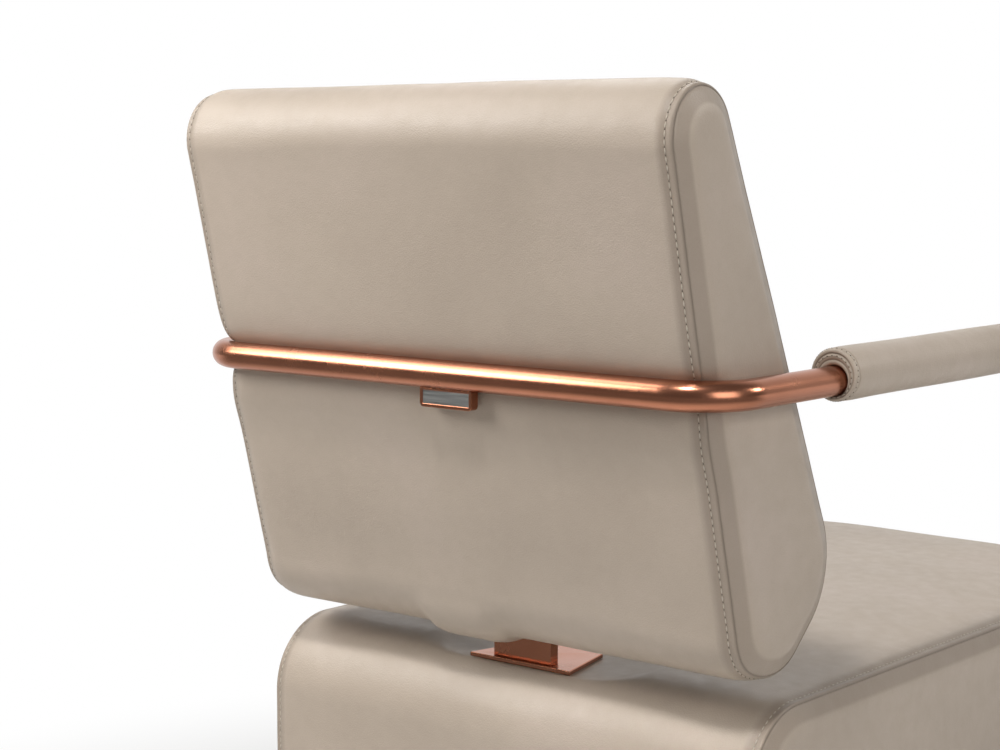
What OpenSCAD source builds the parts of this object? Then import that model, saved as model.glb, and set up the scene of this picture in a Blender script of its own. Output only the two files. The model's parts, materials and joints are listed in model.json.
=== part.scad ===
// Pedicure spa chair: upholstered seat and backrest on a sliding carriage, a bent copper-finished
// arm rail round the back, and a lacquered plinth that carries a foot basin with its taps.
// The sitter faces -Y. Heights named "rise" are measured up from seat_height, and distances
// named "forward" are measured towards the sitter's front, from near the foot of the backrest's
// rear face.

/* [Overall] */
// Height of the seat's nominal sitting plane above the floor
seat_height = 620; // [580:1:660]
// Forward distance of the plinth's front face
plinth_front = 1276; // [1260:1:1340]
// Forward distance of the plinth's rear face
plinth_rear = 40; // [30:1:60]

/* [Backrest] */
// Width of the backrest between its side seams
backrest_width = 536; // [480:1:540]
// Forward place of the top roll's centre
top_forward = -60; // [-70:1:-52]
// Rise of the top roll's centre
top_rise = 460.5; // [430:0.5:480]
// Radius of the top roll
top_radius = 43.5; // [39:0.5:49]
// Forward place of the lumbar roll's centre
lumbar_forward = 55.5; // [46:0.5:62]
// Rise of the lumbar roll's centre
lumbar_rise = 110; // [100:1:125]
// Radius of the lumbar roll
lumbar_radius = 76.5; // [71:0.5:83]
// Forward place of the lower roll's centre
lower_forward = 43.5; // [38:0.5:48]
// Rise of the lower roll's centre
lower_rise = 77; // [74:0.5:84]
// Radius of the lower roll
lower_radius = 58.5; // [53:0.5:61]
// How far the cover bellies out between the side seams
backrest_crown = 1.5; // [0:0.5:4]
// How far the underside sags round the post
backrest_sag = 7; // [0:0.5:9]
// Thickness of the backrest's plywood board
back_board_thick = 15; // [12:1:18]
// Depth of the board behind the rear face
back_board_depth = 37; // [34:1:40]
// Width of the backrest's board
back_board_width = 470; // [440:1:480]

/* [Seat] */
// Width of the seat between its side seams
seat_width = 546; // [500:1:556]
// Forward place of the seat's rear face
seat_rear = 6; // [0:1:12]
// Forward place of the seat's front face
seat_front = 815; // [780:1:830]
// Rise of the sitting surface along its side edges
seat_edge_rise = -5; // [-10:0.5:-4]
// Radius of the rolled rear edge
seat_rear_radius = 70; // [60:1:80]
// Radius of the rolled front edge
seat_front_radius = 70; // [60:1:80]
// Radius of the two lower edges
seat_lower_radius = 14; // [11:1:20]
// Depth of the seat block below those edges
seat_depth = 215; // [205:0.5:218]
// How far the sitting surface stands above its edges at the middle
seat_crown = 14; // [6:0.5:18]
// Thickness of the seat's plywood board
seat_board_thick = 18; // [15:1:20]

/* [Upholstery] */
// Wadding and leather over the foam
cover_thick = 6; // [4:0.5:8]
// How far the panel edges roll in to the side seam
seam_drop = 2.5; // [1.5:0.5:4]
// Length over which they roll in
seam_run = 18; // [14:1:24]
// How far the side gussets belly out
gusset_crown = 6; // [3:0.5:6]
// Width of the hem turned under the seat board
seat_hem = 45; // [35:1:60]
// Clearance round pieces let into the upholstery
soft_gap = 0.4; // [0.3:0.05:0.8]

/* [Arm rail] */
// Outside diameter of the rail tube
rail_dia = 25; // [22:0.5:28]
// Wall of the rail tube
rail_wall = 2; // [1.5:0.1:3]
// Distance between the two arms, centre to centre
rail_span = 578; // [576:1:600]
// Rise of the rail's centre line
rail_rise = 261; // [240:1:280]
// Centre-line radius of the two bends
rail_bend = 50; // [40:1:60]
// Length of each arm, from the rear run's centre line to the tube's end
rail_arm = 560; // [520:1:590]
// How deep the rear run presses into the backrest
rail_press = 4.5; // [2:0.5:6]
// Distance between the two standoffs behind the backrest
standoff_span = 360; // [280:1:400]
// Diameter of a standoff
standoff_dia = 14; // [12:0.5:16]
// Diameter of the standoff screws
standoff_screw_dia = 6; // [5:0.5:6.5]

/* [Arm pads] */
// Outside diameter of a pad
pad_dia = 44; // [41:0.5:50]
// How far the pad's centre line lies above the tube's
pad_lift = 5; // [3:0.5:5.5]
// Distance from the rear run's centre line to the pad's rear end
pad_start = 168; // [150:1:200]
// Length of a pad
pad_length = 408; // [398:1:450]
// Rounding of the pad's ends
pad_round = 6; // [4:0.5:8]
// How far the pad bellies out at mid length
pad_crown = 1; // [0:0.25:2]

/* [Badge] */
// Width of the blank badge's frame
badge_width = 58; // [50:1:66]
// How far the frame hangs below the rail tube
badge_drop = 16; // [13:0.5:20]
// Depth of the frame from front to back
badge_depth = 9; // [8:0.5:11]
// Border round the blank plate
badge_border = 3; // [2:0.5:4]
// Distance of the badge from the middle, towards the sitter's right
badge_offset = 16; // [0:1:40]
// Corner radius of the frame
badge_round = 4; // [3:0.5:5]
// Thickness of the blank plate
badge_plate_thick = 1.2; // [0.8:0.1:1.6]

/* [Backrest post] */
// Width of the flat steel post
post_width = 66; // [56:1:72]
// Thickness of the post
post_thick = 10; // [8:1:11]
// Forward place of the post's rear face
post_forward = 45.5; // [44:0.5:48]
// Length of the post above its bend
post_reach = 250; // [220:1:280]
// Width of the flange plate that covers the post's entry into the seat
flange_width = 116; // [100:1:130]
// Depth of the flange plate
flange_depth = 72; // [62:1:80]
// Thickness of the flange plate
flange_thick = 4; // [3:0.5:5]
// Rise of the flange plate's top face
flange_rise = -8; // [-9:0.5:-7]
// Distance that the flange plate shows behind the post
flange_back = 5; // [4:0.5:8]
// Width of the welded foot plate under the post
foot_width = 150; // [140:1:170]
// Depth of the foot plate
foot_depth = 120; // [110:1:140]
// Thickness of the foot plate
foot_thick = 8; // [6:0.5:10]
// Diameter of the bolts that hold the post
post_bolt_dia = 8; // [6:0.5:9]

/* [Seat slide] */
// Gap between the seat's underside and the deck, which holds the slide
seat_standoff = 20; // [19.5:0.5:23]
// Distance of each slide rail's centre line inside the seat's side seam
slide_inset = 103; // [97:1:112]
// Length of a fixed rail
slide_length = 550; // [530:1:580]
// Width of a fixed rail
slide_width = 40; // [36:1:44]
// Height of a fixed rail
slide_height = 16; // [15:0.5:18]
// Wall of a fixed rail
slide_wall = 3; // [2.5:0.1:3.5]
// Length of a carriage
carriage_length = 430; // [400:1:440]
// Forward place of both rails' rear ends
slide_start = 180; // [160:1:200]
// Running clearance in the slide
slide_gap = 0.3; // [0.2:0.05:0.5]
// Forward place of the release lever's pivot
lever_forward = 560; // [500:1:600]
// Length of the release lever beyond its pivot
lever_reach = 76; // [70:1:80]

/* [Plinth] */
// Width of the plinth
plinth_width = 524; // [510:1:536]
// Thickness of the deck
deck_thick = 12; // [10:1:15]
// Wall of the plinth shell
shell_wall = 10; // [8:1:12]
// Radius of the plinth's front corners
plinth_front_radius = 110; // [90:1:120]
// Radius of the plinth's rear corners
plinth_rear_radius = 60; // [50:1:80]
// Overhang of the deck beyond the shell
deck_overhang = 3; // [0:0.5:5]
// Height of the shell's lower edge
shell_base = 70; // [60:1:80]
// Inset of the toe kick from the shell
toe_inset = 30; // [20:1:32]
// Wall of the toe kick
toe_wall = 16; // [12:1:17]
// Thickness of the floor panel inside the shell
floor_thick = 12; // [10:1:15]
// Diameter of a glide
glide_dia = 40; // [36:1:50]
// Height of a glide
glide_height = 8; // [6:1:10]

/* [Service door] */
// Width of the service opening
door_width = 280; // [260:1:300]
// Height of the service opening
door_height = 210; // [190:1:220]
// Height of the opening's lower edge
door_base = 115; // [105:1:125]
// Gap round the door
door_gap = 2; // [1.5:0.1:3]
// Height of a hinge
hinge_height = 50; // [44:1:56]
// Width of a hinge leaf
hinge_leaf = 22; // [18:1:26]
// Radius of a hinge barrel
hinge_barrel = 4; // [3.5:0.1:4.5]
// Radius of a hinge pin
hinge_pin = 2; // [1.5:0.1:2.5]
// Thickness of a hinge leaf
hinge_thick = 1.5; // [1:0.1:2]
// Diameter of the door's pull knob
door_knob_dia = 24; // [20:1:28]

/* [Basin] */
// Inside width of the basin
basin_width = 430; // [400:1:440]
// Forward place of the basin's inner rear wall
basin_rear = 850; // [842:1:860]
// Inside length of the basin
basin_length = 320; // [305:1:325]
// Height of the basin's inner floor
basin_floor = 190; // [185:1:200]
// Wall of the basin
basin_wall = 5; // [4:0.5:6]
// Inside corner radius of the basin
basin_round = 80; // [70:1:100]
// Width of the rim that rests on the deck
rim_width = 18; // [14:0.5:20]
// Thickness of the rim
rim_thick = 5; // [4:0.5:6]
// Height of the sloping foot of the basin's walls
basin_slope = 40; // [30:1:45]
// Diameter of the jet opening
jet_dia = 70; // [60:1:76]
// Diameter of the waste hole
waste_dia = 46; // [42:1:50]
// Lift of the waste plug
plug_lift = 10; // [6:1:12]

/* [Taps and controls] */
// Forward distance of the tap row's centre line behind the plinth's front
tap_setback = 46; // [42:1:50]
// Distance of the mixer from the middle, towards the sitter's right
mixer_offset = 120; // [110:1:130]
// Diameter of the mixer's body
mixer_dia = 44; // [40:1:46]
// Height of the mixer's body
mixer_height = 56; // [50:1:64]
// Length of the mixer's lever
mixer_lever_length = 60; // [50:1:62]
// Distance of the spout from the middle, towards the sitter's left
spout_offset = 120; // [112:1:130]
// Outside diameter of the spout tube
spout_dia = 20; // [16:1:22]
// Reach of the spout over the basin
spout_reach = 110; // [95:1:120]
// Height of the spout's centre line above the deck
spout_rise = 100; // [90:1:104]
// Distance of the jet's air button from the middle, towards the sitter's left
button_offset = 190; // [178:1:196]
// Diameter of the jet's air button
button_dia = 24; // [20:1:26]
// Travel of the jet's air button
button_travel = 3; // [2:0.5:4]
// Diameter of the footrest's stem
stem_dia = 25; // [22:1:28]
// Width of the footrest pad
footrest_width = 110; // [100:1:120]
// Depth of the footrest pad
footrest_depth = 60; // [54:1:66]
// Thickness of the footrest pad
footrest_thick = 34; // [30:1:38]
// Travel of the footrest
footrest_travel = 50; // [30:1:60]

/* [Hidden] */

$fn = 64;
leather = [0.69, 0.64, 0.575];
copper = [0.74, 0.46, 0.35];
lacquer = [0.93, 0.92, 0.9];
acrylic = [0.97, 0.97, 0.96];
ply = [0.8, 0.66, 0.46];
foam = [0.95, 0.9, 0.72];
steel = [0.6, 0.6, 0.62];
chromed = [0.85, 0.86, 0.88];
charcoal = [0.18, 0.17, 0.17];
eps = 0.1;                 // overshoot of cutting shapes
run_gap = 0.05;            // radial clearance of shafts and pins in their bores
turn_gap = 0.3;            // face clearance of pieces that turn or slide on each other
roll_steps = 8;            // facets round each roll of an upholstered outline
side_steps = 4;            // points along each straight side between rolls
hull_facets = 32;

// Rolls of the backrest's side outline, anticlockwise as [forward, rise, radius]
backrest_rolls = [
    [lumbar_forward, lumbar_rise, lumbar_radius],
    [top_forward, top_rise, top_radius],
    [lower_forward, lower_rise, lower_radius]];

seat_bottom_rise = seat_edge_rise - seat_depth;
seat_base = seat_height + seat_bottom_rise;
deck_height = seat_base - seat_standoff;
slide_span = seat_width - 2 * slide_inset;
seat_rolls = [
    [seat_front - seat_lower_radius, seat_bottom_rise + seat_lower_radius, seat_lower_radius],
    [seat_front - seat_front_radius, seat_edge_rise - seat_front_radius, seat_front_radius],
    [seat_rear + seat_rear_radius, seat_edge_rise - seat_rear_radius, seat_rear_radius],
    [seat_rear + seat_lower_radius, seat_bottom_rise + seat_lower_radius, seat_lower_radius]];

// Direction of the outward normal of the straight side from roll a to roll b
function side_normal(a, b) =
    let (run = b[0] - a[0], up = b[1] - a[1])
    atan2(up, run) - acos((a[2] - b[2]) / norm([run, up]));

function on_roll(roll, a) = [roll[0] + roll[2] * cos(a), roll[1] + roll[2] * sin(a), a];

// Outline round a chain of rolls, as [forward, rise, direction of the outward normal]
function outline(rolls) = [
    for (i = [0 : len(rolls) - 1])
        let (count = len(rolls),
             here = rolls[i],
             next = rolls[(i + 1) % count],
             first = side_normal(rolls[(i + count - 1) % count], here),
             last = side_normal(here, next),
             turn = (last - first + 720) % 360,
             leave = on_roll(here, last),
             arrive = on_roll(next, last))
        each concat(
            [for (s = [0 : roll_steps]) on_roll(here, first + turn * s / roll_steps)],
            [for (s = [1 : side_steps]) leave + (arrive - leave) * s / (side_steps + 1)])];

function grown(points, by) = [for (p = points) [p[0] + by * cos(p[2]), p[1] + by * sin(p[2])]];

// The backrest's rear face is a straight line, and the forward distances start at its foot
rear_normal = side_normal(backrest_rolls[1], backrest_rolls[2]);
lean = (rear_normal + 180) % 360;
rear_foot = top_forward + top_radius * cos(rear_normal)
    + (top_rise + top_radius * sin(rear_normal)) * tan(lean);
function rear_face(rise) = rear_foot - rise * tan(lean);

rail_r = rail_dia / 2;
rail_forward = rear_face(rail_rise) - (rail_r - rail_press) / cos(lean);
rear_reach = top_radius - top_forward + backrest_crown;
// The origin is under the middle of the whole chair
y_foot = (plinth_front + deck_overhang + rear_reach) / 2 - rear_reach;
function y_at(forward) = y_foot - forward;

// Puts a shape at a place given from the middle, forwards and upwards from the floor
module at(side, forward, height) { translate([side, y_at(forward), height]) children(); }

// Puts a shape in the backrest's own frame: rear face on Y 0, up the face along Z
module on_back() { at(0, rear_face(0), seat_height) rotate([-lean, 0, 0]) children(); }

// Extrudes a side outline, given as forward and rise, across the chair
module across(points, width) {
    placed = [for (p = points) [y_at(p[0]), seat_height + p[1]]];
    rotate([90, 0, 90]) linear_extrude(width, center = true) polygon(placed);
}

// A pipe along straight runs between points, with rounded corners
module pipe_run(points, radius) {
    last = len(points) - 1;
    for (i = [0 : last - 1]) {
        step = points[i + 1] - points[i];
        translate(points[i]) rotate([0, acos(step[2] / norm(step)), atan2(step[1], step[0])])
            cylinder(norm(step), r = radius);
    }
    for (i = [1 : last - 1]) translate(points[i]) sphere(radius);
}

module mirrored_pair() { children(); mirror([1, 0, 0]) children(); }

module along_y(length, radius) { rotate([90, 0, 0]) cylinder(length, r = radius, center = true); }
module along_x(length, radius) { rotate([0, 90, 0]) cylinder(length, r = radius, center = true); }

// A slab with four true corner arcs: the front pair (towards -Y) may differ from the rear pair
module round_slab(width, front_y, rear_y, front_r, rear_r, thick) {
    linear_extrude(thick) {
        for (side = [-1, 1]) {
            translate([side * (width / 2 - front_r), front_y + front_r]) circle(front_r);
            translate([side * (width / 2 - rear_r), rear_y - rear_r]) circle(rear_r);
        }
        translate([-width / 2 + front_r, front_y]) square([width - 2 * front_r, 2 * front_r]);
        translate([-width / 2 + rear_r, rear_y - 2 * rear_r])
            square([width - 2 * rear_r, 2 * rear_r]);
        translate([-width / 2, front_y + front_r])
            square([width, rear_y - front_y - front_r - rear_r]);
    }
}

// ---------- Upholstered forms ----------

gusset_steps = 3;
seam_steps = 4;

// Stations across a cushion, from its middle to one end: [side, inset of the outline]
function half_stations(half, drop, run, belly, reach) = concat(
    [[0, 0], [(half - run) / 2, 0]],
    [for (i = [0 : seam_steps])
        let (t = i / seam_steps) [half - run * (1 - t), drop * (1 - sqrt(1 - t * t))]],
    [for (i = [1 : gusset_steps])
        let (a = 90 * i / gusset_steps) [half + belly * sin(a), drop + reach * (1 - cos(a))]]);

function both_ways(half) = concat(
    [for (i = [len(half) - 1 : -1 : 1]) [-half[i][0], half[i][1]]], half);

// A cushion sewn from a band round its outline and two gussets. swell(side, point) says how far
// the band bellies out at a share of the half width and a point of the outline.
function cushion_rings(points, stations, half, swell) = [
    for (s = stations)
        [for (p = points)
            let (by = swell(s[0] / half, p) - s[1])
            [s[0], y_at(p[0] + by * cos(p[2])), seat_height + p[1] + by * sin(p[2])]]];

function middle(ring) = [for (axis = [0 : 2]) sum([for (p = ring) p[axis]]) / len(ring)];
function sum(list) = list * [for (v = list) 1];

// Solid through a row of rings, closed by a fan at each end
module ringed(rings) {
    count = len(rings[0]);
    last = len(rings) - 1;
    points = concat([for (r = rings) each r], [middle(rings[0]), middle(rings[last])]);
    hub = (last + 1) * count;
    sides = [
        for (i = [0 : last - 1], j = [0 : count - 1])
            let (k = (j + 1) % count,
                 a = i * count + j, b = i * count + k, c = a + count, d = b + count)
            each [[a, b, d], [a, d, c]]];
    caps = [
        for (j = [0 : count - 1])
            let (k = (j + 1) % count)
            each [[hub, k, j], [hub + 1, last * count + j, last * count + k]]];
    polyhedron(points, concat(sides, caps));
}

sag_half = 0.3;            // half width of the sag round the post, as a share of the half width
crown_start = 100;         // forward distance where the seat's crown starts to rise
crown_run = 240;           // length over which it rises

function backrest_swell() = function (side, point)
    backrest_crown * max(0, 1 - side * side)
    + backrest_sag * pow(max(0, -sin(point[2])), 3) * exp(-pow(side / sag_half, 2));

// The sitting surface is level round the post and crowned in front of it
function seat_swell() = function (side, point)
    let (t = min(1, max(0, (point[0] - crown_start) / crown_run)))
    seat_crown * t * t * (3 - 2 * t) * max(0, 1 - side * side) * pow(max(0, sin(point[2])), 2);

backrest_half = backrest_width / 2;
seat_half = seat_width / 2;
cap_reach = 24;            // how far the gusset's outer ring is drawn in

module backrest_outside() {
    ringed(cushion_rings(outline(backrest_rolls),
        both_ways(half_stations(backrest_half, seam_drop, seam_run, gusset_crown, cap_reach)),
        backrest_half, backrest_swell()));
}

module backrest_core() {
    across(grown(outline(backrest_rolls), -cover_thick - seam_drop / 2),
        backrest_width - 2 * cover_thick);
}

// The seat's gusset is drawn in less, because its lower rolls are small
seat_cap_reach = seat_lower_radius - seam_drop - 3;

module seat_outside() {
    ringed(cushion_rings(outline(seat_rolls),
        both_ways(half_stations(seat_half, seam_drop, seam_run, gusset_crown, seat_cap_reach)),
        seat_half, seat_swell()));
}

module seat_core() {
    across(grown(outline(seat_rolls), -cover_thick), seat_width - 2 * cover_thick);
}

// ---------- Backrest ----------

// The post is flat bar: upright out of the seat, then leaning with the board that it is bolted to
post_side = back_board_depth + back_board_thick;
post_bend = (rear_face(0) + post_side / cos(lean) - post_forward) / tan(lean);
seat_board_top = seat_bottom_rise + cover_thick + seat_board_thick;
post_offset = 5;           // the post stands a little towards the sitter's right

module post_bar(margin) {
    back = post_forward - margin;
    front = post_forward + post_thick + margin;
    thick = front - back;
    bend = post_bend - margin * tan(lean / 2);
    top = post_reach + margin;
    translate([-post_offset, 0, 0]) across([
        [back, seat_board_top],
        [front, seat_board_top],
        [front, bend + thick * tan(lean / 2)],
        [back + thick * cos(lean) - top * sin(lean), bend + thick * sin(lean) + top * cos(lean)],
        [back - top * sin(lean), bend + top * cos(lean)],
        [back, bend]], post_width + 2 * margin);
}

back_board_low = 32;       // ends of the board, measured up the rear face
back_board_high = 478;
bolt_rows = [120, 220];
bolt_columns = [-20, 20];
bolt_head = 4;
bolt_gap = 0.2;

module back_board_solid(margin) {
    on_back() translate([-back_board_width / 2 - margin, -post_side - margin, back_board_low - margin])
        cube([back_board_width + 2 * margin, back_board_thick + 2 * margin,
            back_board_high - back_board_low + 2 * margin]);
}

module at_board_bolts() {
    for (row = bolt_rows, column = bolt_columns)
        on_back() translate([column - post_offset, 0, row]) rotate([90, 0, 0]) children();
}

rail_up_face = rail_rise / cos(lean) + (rail_forward - rear_face(rail_rise)) * -sin(lean);

module at_standoffs() {
    for (side = [-1, 1])
        on_back() translate([side * standoff_span / 2, 0, rail_up_face]) rotate([90, 0, 0])
            children();
}

module rail_rear(radius, length) {
    at(0, rail_forward, seat_height + rail_rise) along_x(length, radius);
}

flange_top = seat_height + flange_rise;
flange_rear = post_forward - flange_back;

module flange_box(margin, height) {
    at(-post_offset, flange_rear + flange_depth / 2, flange_top - flange_thick - margin)
        translate([-flange_width / 2 - margin, -flange_depth / 2 - margin, 0])
            cube([flange_width + 2 * margin, flange_depth + 2 * margin, height]);
}

module backrest_cover() {
    color(leather) difference() {
        backrest_outside();
        backrest_core();
        post_bar(soft_gap);
        rail_path(rail_r + soft_gap);
        at_standoffs() translate([0, 0, -rail_dia])
            cylinder(back_board_depth + rail_dia, r = standoff_dia / 2 + soft_gap);
    }
}

module backrest_foam() {
    color(foam) difference() {
        backrest_core();
        back_board_solid(soft_gap);
        post_bar(soft_gap);
        rail_path(rail_r + soft_gap);
        at_standoffs() translate([0, 0, -rail_dia])
            cylinder(post_side + rail_dia + 2 * bolt_head, r = standoff_dia / 2 + soft_gap);
        at_board_bolts() translate([0, 0, back_board_depth - 3 * bolt_head])
            cylinder(post_side, r = post_bolt_dia);
    }
}

module backrest_board() {
    color(ply) difference() {
        back_board_solid(0);
        at_board_bolts() cylinder(2 * post_side, r = post_bolt_dia / 2 + bolt_gap);
        at_standoffs() cylinder(2 * post_side, r = standoff_screw_dia / 2 + bolt_gap);
    }
}

// Heads lie behind the board, and nuts in front of the post
module board_bolts() {
    color(steel) at_board_bolts() {
        translate([0, 0, back_board_depth - bolt_head]) cylinder(bolt_head, r = post_bolt_dia * 0.8);
        translate([0, 0, back_board_depth - eps])
            cylinder(back_board_thick + post_thick + 2 * bolt_head, r = post_bolt_dia / 2);
        translate([0, 0, post_side + post_thick]) cylinder(1.5 * bolt_head, r = post_bolt_dia * 0.8);
    }
}

foot_forward = post_forward + post_thick / 2;
foot_bolt_x = foot_width / 2 - 18;
foot_bolt_y = foot_depth / 2 - 18;

module at_foot_bolts() {
    for (side = [-1, 1], end = [-1, 1])
        at(side * foot_bolt_x - post_offset, foot_forward + foot_depth / 4 + end * foot_bolt_y,
            seat_height + seat_board_top) children();
}

module foot_plate(margin) {
    at(-post_offset, foot_forward + foot_depth / 4, seat_height + seat_board_top)
        translate([-foot_width / 2 - margin, -foot_depth / 2 - margin, 0])
            cube([foot_width + 2 * margin, foot_depth + 2 * margin, foot_thick + margin]);
}

module backrest_post() {
    color(copper) difference() {
        union() {
            post_bar(0);
            foot_plate(0);
        }
        at_board_bolts() cylinder(2 * post_side, r = post_bolt_dia / 2 + bolt_gap);
        at_foot_bolts() translate([0, 0, -eps])
            cylinder(foot_thick + 2 * eps, r = post_bolt_dia / 2 + bolt_gap);
    }
}

module post_flange() {
    color(copper) difference() {
        flange_box(0, flange_thick);
        post_bar(slide_gap);
    }
}

module foot_bolts() {
    color(steel) at_foot_bolts() {
        translate([0, 0, foot_thick]) cylinder(bolt_head, r = post_bolt_dia * 0.8);
        translate([0, 0, -seat_board_thick]) cylinder(seat_board_thick + foot_thick + eps,
            r = post_bolt_dia / 2);
    }
}

// ---------- Arm rail, pads and badge ----------

module rail_path(radius) {
    arm_x = rail_span / 2;
    straight = rail_arm - rail_bend;
    at(0, rail_forward, seat_height + rail_rise) {
        along_x(rail_span - 2 * rail_bend, radius);
        mirrored_pair() {
            translate([arm_x - rail_bend, -rail_bend, 0])
                rotate_extrude(angle = 90) translate([rail_bend, 0]) circle(radius);
            translate([arm_x, -rail_bend - straight / 2, 0]) along_y(straight, radius);
        }
    }
}

module arm_rail() {
    color(copper) difference() {
        rail_path(rail_r);
        rail_path(rail_r - rail_wall);
    }
}

// Standoffs are welded to the rail behind the leather and reach the board
module rail_standoffs() {
    color(steel) difference() {
        at_standoffs() cylinder(back_board_depth, r = standoff_dia / 2);
        rail_rear(rail_r, standoff_span + 2 * standoff_dia);
        at_standoffs() translate([0, 0, rail_r])
            cylinder(back_board_depth, r = standoff_screw_dia / 2);
    }
}

module rail_screws() {
    color(steel) at_standoffs() {
        translate([0, 0, rail_r + eps]) cylinder(post_side - rail_r, r = standoff_screw_dia / 2);
        translate([0, 0, post_side]) cylinder(bolt_head, r = standoff_screw_dia * 0.8);
    }
}

plug_depth = 14;
module rail_plugs() {
    color(charcoal) mirrored_pair()
        at(rail_span / 2, rail_forward + rail_arm, seat_height + rail_rise) {
            translate([0, plug_depth / 2, 0]) along_y(plug_depth, rail_r - rail_wall);
            translate([0, -1, 0]) along_y(2, rail_r);
        }
}

// Outline of a pad's half section: distance along the pad, then radius
pad_points = 8;
function pad_outline() = concat(
    [[0, 0], [0, pad_dia / 2 - pad_round]],
    [for (i = [1 : pad_points]) let (a = 90 * i / pad_points)
        [pad_round * (1 - cos(a)), pad_dia / 2 - pad_round * (1 - sin(a))]],
    [for (i = [1 : pad_points - 1]) let (t = i / pad_points)
        [pad_round + (pad_length - 2 * pad_round) * t, pad_dia / 2 + pad_crown * sin(180 * t)]],
    [for (i = [0 : pad_points]) let (a = 90 * i / pad_points)
        [pad_length - pad_round * (1 - sin(a)), pad_dia / 2 - pad_round * (1 - cos(a))]],
    [[pad_length, 0]]);

module arm_pad() {
    pad_outer = [for (p = pad_outline()) [p[1], p[0]]];
    color(leather) difference() {
        at(rail_span / 2, rail_forward + pad_start, seat_height + rail_rise + pad_lift)
            rotate([90, 0, 0]) rotate_extrude() polygon(pad_outer);
        at(rail_span / 2, rail_forward + (pad_start + rail_arm) / 2, seat_height + rail_rise)
            translate([0, -1, 0]) along_y(rail_arm - pad_start + 2, rail_r + eps);
        at(rail_span / 2, rail_forward + pad_start, seat_height + rail_rise)
            along_y(2 * plug_depth, rail_r + eps);
    }
}

module arm_pad_left() { arm_pad(); }
module arm_pad_right() { mirror([1, 0, 0]) arm_pad(); }

badge_recess = 2;

module badge_block(inset, depth) {
    low = -rail_r - badge_drop + inset;
    high = -rail_r * 0.4;
    half = badge_width / 2 - inset;
    corner = badge_round - inset / 2;
    linear_extrude(depth) {
        for (side = [-1, 1]) translate([side * (half - corner), low + corner]) circle(corner);
        translate([-half + corner, low]) square([2 * (half - corner), corner]);
        translate([-half, low + corner]) square([2 * half, high - low - corner]);
    }
}

module at_badge() {
    at(-badge_offset, rail_forward, seat_height + rail_rise) rotate([90, 0, 0]) children();
}

badge_back = 4;            // how far the frame's rear face stands behind the rail's centre line

module badge_frame() {
    color(copper) difference() {
        at_badge() translate([0, 0, -badge_back]) badge_block(0, badge_depth);
        rail_rear(rail_r, 2 * badge_width);
        at_badge() translate([0, 0, -badge_back - eps]) badge_recess_block(badge_recess + eps);
    }
}

// The recess is closed on top by a strip under the rail
module badge_recess_block(depth) {
    half = badge_width / 2 - badge_border;
    low = -rail_r - badge_drop + badge_border;
    translate([-half, low, 0]) cube([2 * half, badge_drop - 1.5 * badge_border, depth]);
}

module badge_plate() {
    color(chromed) at_badge()
        translate([0, 0, -badge_back + badge_recess - badge_plate_thick])
            badge_recess_block(badge_plate_thick);
}

// ---------- Seat ----------

seat_inner_half = seat_half - cover_thick;
board_margin = 2;
seat_board_rear = seat_rear + seat_lower_radius;
seat_board_front = seat_front - seat_lower_radius;

module seat_board_box(margin) {
    width = 2 * (seat_inner_half - board_margin + margin);
    length = seat_board_front - seat_board_rear + 2 * margin;
    at(0, seat_board_front + margin, seat_base + cover_thick - margin)
        translate([-width / 2, 0, 0]) cube([width, length, seat_board_thick + margin]);
}

module seat_cover() {
    color(leather) difference() {
        seat_outside();
        seat_core();
        flange_box(soft_gap, 2 * seat_crown);
        post_bar(soft_gap);
        at(0, seat_front - seat_hem, seat_base - eps)
            translate([-seat_half + seat_hem, 0, 0])
                cube([seat_width - 2 * seat_hem, seat_front - seat_rear - 2 * seat_hem,
                    cover_thick + 2 * eps]);
    }
}

module seat_foam() {
    color(foam) difference() {
        seat_core();
        seat_board_box(0);
        at(0, seat_front, seat_base) translate([-seat_half, 0, 0])
            cube([seat_width, seat_front - seat_rear, cover_thick + eps]);
        post_bar(soft_gap);
        foot_plate(soft_gap);
        at_foot_bolts() cylinder(foot_thick + 2 * bolt_head, r = post_bolt_dia);
        flange_box(soft_gap, 2 * seat_crown);
    }
}

carriage_screw_dia = 6;
carriage_screw_depth = 12;
carriage_start = slide_start + 10;   // the carriage stands a little ahead of the rail's rear end
carriage_screw_inset = 40;
carriage_screw_side = slide_width / 2 - 4;
screw_ends = [carriage_screw_inset, carriage_length - carriage_screw_inset];

module at_carriage_screws() {
    for (side = [-1, 1], along = screw_ends)
        at(side * (slide_span / 2 + carriage_screw_side), carriage_start + along,
            seat_base + cover_thick) children();
}

module seat_board() {
    color(ply) difference() {
        seat_board_box(0);
        at_foot_bolts() translate([0, 0, -seat_board_thick - eps])
            cylinder(seat_board_thick + 2 * eps, r = post_bolt_dia / 2 + bolt_gap);
        at_carriage_screws() translate([0, 0, -eps])
            cylinder(carriage_screw_depth + eps, r = carriage_screw_dia / 2 + bolt_gap);
        at_lever() translate([0, 0, -eps]) cylinder(lever_pin_length, r = lever_pin_r + run_gap);
    }
}

carriage_flange = slide_width + 16;  // width of the flange under the seat board
carriage_top = seat_base + cover_thick;
carriage_flange_thick = 6;
slide_slot = 16;
web_width = 10;

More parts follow.
